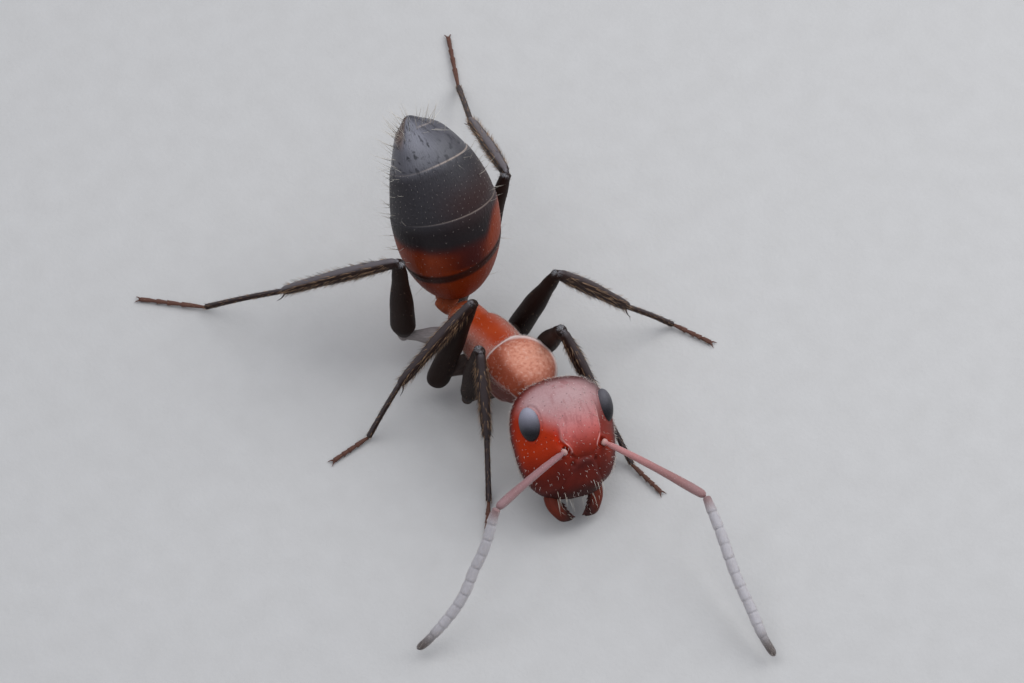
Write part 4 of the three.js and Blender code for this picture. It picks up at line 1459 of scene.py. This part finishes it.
HEEL_RADIUS, FOOT_RADIUS = 0.1, 0.056  # how high the middles of heel and toe lie over the floor
legs = {}
for pair in PAIRS:
    for side in OUT:
        root, hip, knee, ankle, heel, toe = leg_joints(pair, side)
        heel, toe = heel - (0, 0, METATARSUS_END - HEEL_RADIUS), toe - (0, 0, TOE_HEIGHT - FOOT_RADIUS)
        leg = f"{pair}_{side}"
        legs[leg] = {
            "coxa": make_coxa("coxa_" + leg, root, hip, knee),
            "femur": make_femur("femur_" + leg, pair, hip, knee),
            "tibia": make_tibia("tibia_" + leg, pair, knee, ankle),
            "metatarsus": make_metatarsus("metatarsus_" + leg, ankle, heel),
            "tarsus": make_tarsus("tarsus_" + leg, heel, toe),
        }
print(len(legs), "legs of", len(legs["fore_left"]), "pieces")

# %% [markdown]
# ## Hairs
# The hairs decide whether this reads as an animal or as a toy. A pale pile, shorter than the eye can single
# out, lies over thorax and head and lights up along every outline. Stiff brown bristles lean along the
# shins. Long pale hairs stand round the jaws and at the gaster's tip. Each group is the same tree with its
# own sizes.


# %% Hair finishes
def hair_finish(name, dark, light, scale=3.0, turn=None, **fixed):
    """A hair's finish. Its tint drifts from dark to light, or turns between two shares of the noise."""
    hair = Finish(name, **fixed)
    tint = hair.noise(scale)
    tint = hair.step(tint, *turn) if turn else tint
    hair.set(Base_Color=hair.mix(tint, dark, light))
    return hair


pile_hair = hair_finish(
    "pale pile", (0.62, 0.5, 0.42), (0.85, 0.78, 0.72), Roughness=0.45, Specular_IOR_Level=0.5
)
long_hair = hair_finish(
    "long pale hair", (0.6, 0.5, 0.36), (0.88, 0.84, 0.76), Roughness=0.35, Specular_IOR_Level=0.6
)
bristle_hair = hair_finish(
    "brown bristle", (0.04, 0.016, 0.009), (0.5, 0.3, 0.16), 9.0, (0.38, 0.6), Roughness=0.4,
    Specular_IOR_Level=0.5,
)
print("hair finishes ready")

# %% Coats of the head
side, back, face = place_of(head).T
to_mouth = HEAD.axes @ np.array((0.0, -1.0, 0.0))
rim = bell(from_rim(side, face), 0.0, 0.13) * smooth(-1.1, -0.8, back) * (1 - 0.65 * smooth(0.6, 1.0, back))
head_pile = grow(
    head, "head_pile", pile_hair, to_mouth, 0.03 + 0.97 * rim,
    Density=900.0, Length=0.085, Thickness=0.006, Lean=0.35, Ruffle=0.4, Seed=3,
)
front = smooth(-0.85, -1.1, back) * smooth(-0.1, 0.1, face) * smooth(0.72, 0.6, np.abs(side))
face_hair = grow(
    head, "mouth_hairs", long_hair, to_mouth + HEAD.axes @ np.array((0, 0, 0.1)), front,
    Density=18.0, Apart=0.12, Length=0.42, Thickness=0.009, Lean=0.78, Ruffle=0.3, Bend=0.05,
    Sides=4, Steps=3, Seed=11,
)
jaw_hair = [
    grow(
        jaw, "jaw_hairs", long_hair, to_mouth,
        Density=22.0, Length=0.14, Thickness=0.006, Lean=0.55, Ruffle=0.25, Steps=2, Seed=5,
    )
    for jaw in jaws.values()
]
face_hair = merge("mouth_hairs", [face_hair, *jaw_hair])

# %% Coats of thorax and waist
side, along, up = place_of(thorax).T
wide = np.abs(side)
backwards = THORAX.axes @ np.array((0.0, 1.0, 0.0))
collar = smooth(-1.7, -1.8, along)
skirt = over_skirt(up, smooth(0.45, 0.72, wide))
shield = over_shield(side, along, up)
flank = smooth(0.2, 0.45, wide) * smooth(-1.85, -1.7, along)
velvet = bell(along, -1.78, 0.08) + flank * smooth(0.3, 0.05, up - 0.05 - 0.41 * side)
velvet += smooth(0.3, 0.1, shield) * smooth(-0.1, 0.0, shield) * smooth(-0.1, 0.3, side) * collar
velvet += smooth(0.12, 0.02, np.abs(skirt)) * collar
thorax_pile = grow(
    thorax, "thorax_pile", pile_hair, backwards,
    smooth(-3.3, -3.0, along) * np.clip(0.04 + 0.26 * flank + velvet, 0, 1),
    Density=1500.0, Length=0.055, Thickness=0.0026, Lean=0.6, Ruffle=0.3, Seed=7,
)
waist_hair = grow(
    petiole, "petiole_hairs", long_hair, backwards, smooth(-0.1, 0.2, place_of(petiole)[:, 2]),
    Density=70.0, Length=0.16, Thickness=0.005, Lean=0.3, Ruffle=0.3, Steps=2, Seed=8,
)

# %% Coats of the gaster
to_tip = GASTER.axes @ np.array((0.0, 1.0, 0.0))
ERECT = ((4.0, 0.42), (6.0, 0.42), (12.0, 0.42), (30.0, 0.66), (60.0, 0.66))  # density, length by plate
fringes, erect = [], []
for number, plate in enumerate(plates, 1):
    share, right, dorsal = place_of(plate).T
    across = over_the_back(right, dorsal)
    flank = smooth(-0.55, -0.85, across) + 0.35 * smooth(0.7, 0.95, across)
    fringe = grow(
        plate, "gaster_setae", pile_hair, to_tip, smooth(0.02, 0.06, share) * smooth(0.9, 0.8, share),
        Density=260.0 if number == 3 else 25.0, Apart=0.12, Length=0.035, Thickness=0.0055, Lean=0.75,
        Seed=20 + number,
    )
    density, length = ERECT[number - 1]
    hairs = grow(
        plate, "gaster_hairs", long_hair, to_tip, flank if number < 5 else 1.0,
        Density=density, Apart=0.08, Length=length, Shortest=0.4, Thickness=0.0085, Lean=0.3, Ruffle=0.25,
        Bend=0.04, Steps=3, Seed=30 + number,
    )
    fringes.append(fringe)
    erect.append(hairs)
gaster_setae = merge("gaster_setae", fringes)
gaster_hairs = merge("gaster_hairs", erect)

# %% Bristles of the legs
BRISTLE_ROWS = (-165, -135, -105, -75, -45, -15, 15, 45, 135, 165)  # degrees round a shin, none on top


def rows_of_bristles(shin):
    """The bristles stand in rows along a shin, all round it but for the smooth top."""
    gone, cosine, sine = place_of(shin).T
    angle = np.degrees(np.arctan2(sine, cosine))
    rows = sum(bell(angle, row, 5) for row in BRISTLE_ROWS)
    return np.clip(rows + 0.04, 0, 1) * smooth(0.15, 0.4, gone)


def brush_at_the_knee(thigh):
    """The thigh is nearly bare but for a brush of fine hairs at the knee."""
    return 0.12 + 0.88 * smooth(0.3, 0.1, place_of(thigh)[:, 0])


HAIRY = {"femur": brush_at_the_knee, "tibia": rows_of_bristles}  # where they stand, if not all over
BRISTLES = {  # density, spacing, length, thickness and lean on each joint
    "femur": (110.0, 0.0, 0.09, 0.004, 0.3),
    "tibia": (3600.0, 0.028, 0.21, 0.0065, 0.68),
    "metatarsus": (220.0, 0.03, 0.12, 0.005, 0.72),
    "tarsus": (150.0, 0.03, 0.08, 0.0045, 0.7),
}
bristles = {}
for leg, parts in legs.items():
    spots = leg_joints(*leg.split("_"))[1:]
    coats = []
    for number, (part, sizes) in enumerate(BRISTLES.items()):
        piece, way = parts[part], unit(spots[number + 1] - spots[number])
        sizes = dict(zip(("Density", "Apart", "Length", "Thickness", "Lean"), sizes))
        fur = HAIRY[part](piece) if part in HAIRY else 1.0
        coats.append(grow(piece, "bristles", bristle_hair, way, fur, Ruffle=0.15, Seed=40 + number, **sizes))
    bristles[leg] = merge("bristles_" + leg, coats)

# %% Down of the feelers
feeler_down = {}
fine_down = {"Length": 0.05, "Thickness": 0.003}
for side in FEELERS:
    bends = np.array(FEELERS[side])
    out, along = unit(bends[0] + WAIST - HEAD.origin), unit(bends[-1] - bends[0])
    coats = [
        grow(scapes[side], "down", pile_hair, out, Density=160.0, Lean=0.85, Seed=60, **fine_down),
        grow(lashes[side], "down", pile_hair, along, Density=420.0, Lean=0.8, Seed=61, **fine_down),
    ]
    feeler_down[side] = merge("feeler_down_" + side, coats)

# %% [markdown]
# ## Hand over
# Each piece takes the place of the solids it stands for. The solids stay underneath for weight and contact.

# %% Hand over the pieces
settle(head, "head_shell", "head")
for side in OUT:
    settle(eyes[side], "eye", "eye_" + side)
    settle(jaws[side], "jaw_shell", "mandible_" + side)
    settle(scapes[side], "feeler_shell", "scape_" + side)
    settle(lashes[side], "feeler_shell", "lash_" + side)
    settle(feeler_down[side], "hair")
settle(thorax, "thorax_shell", "pronotum", "mesothorax", "propodeum")
settle(petiole, "thorax_shell", "petiole")
for number, plate in enumerate(plates, 1):
    settle(plate, "gaster_shell", f"gaster_{number}")
for leg, parts in legs.items():
    for part, piece in parts.items():
        settle(piece, "leg_shell", f"{part}_{leg}")
    settle(bristles[leg], "hair")
for coat in (head_pile, face_hair, thorax_pile, waist_hair, gaster_setae, gaster_hairs):
    settle(coat, "hair")
print(len(settled), "pieces,", sum(len(piece.data.polygons) for piece in settled), "faces")
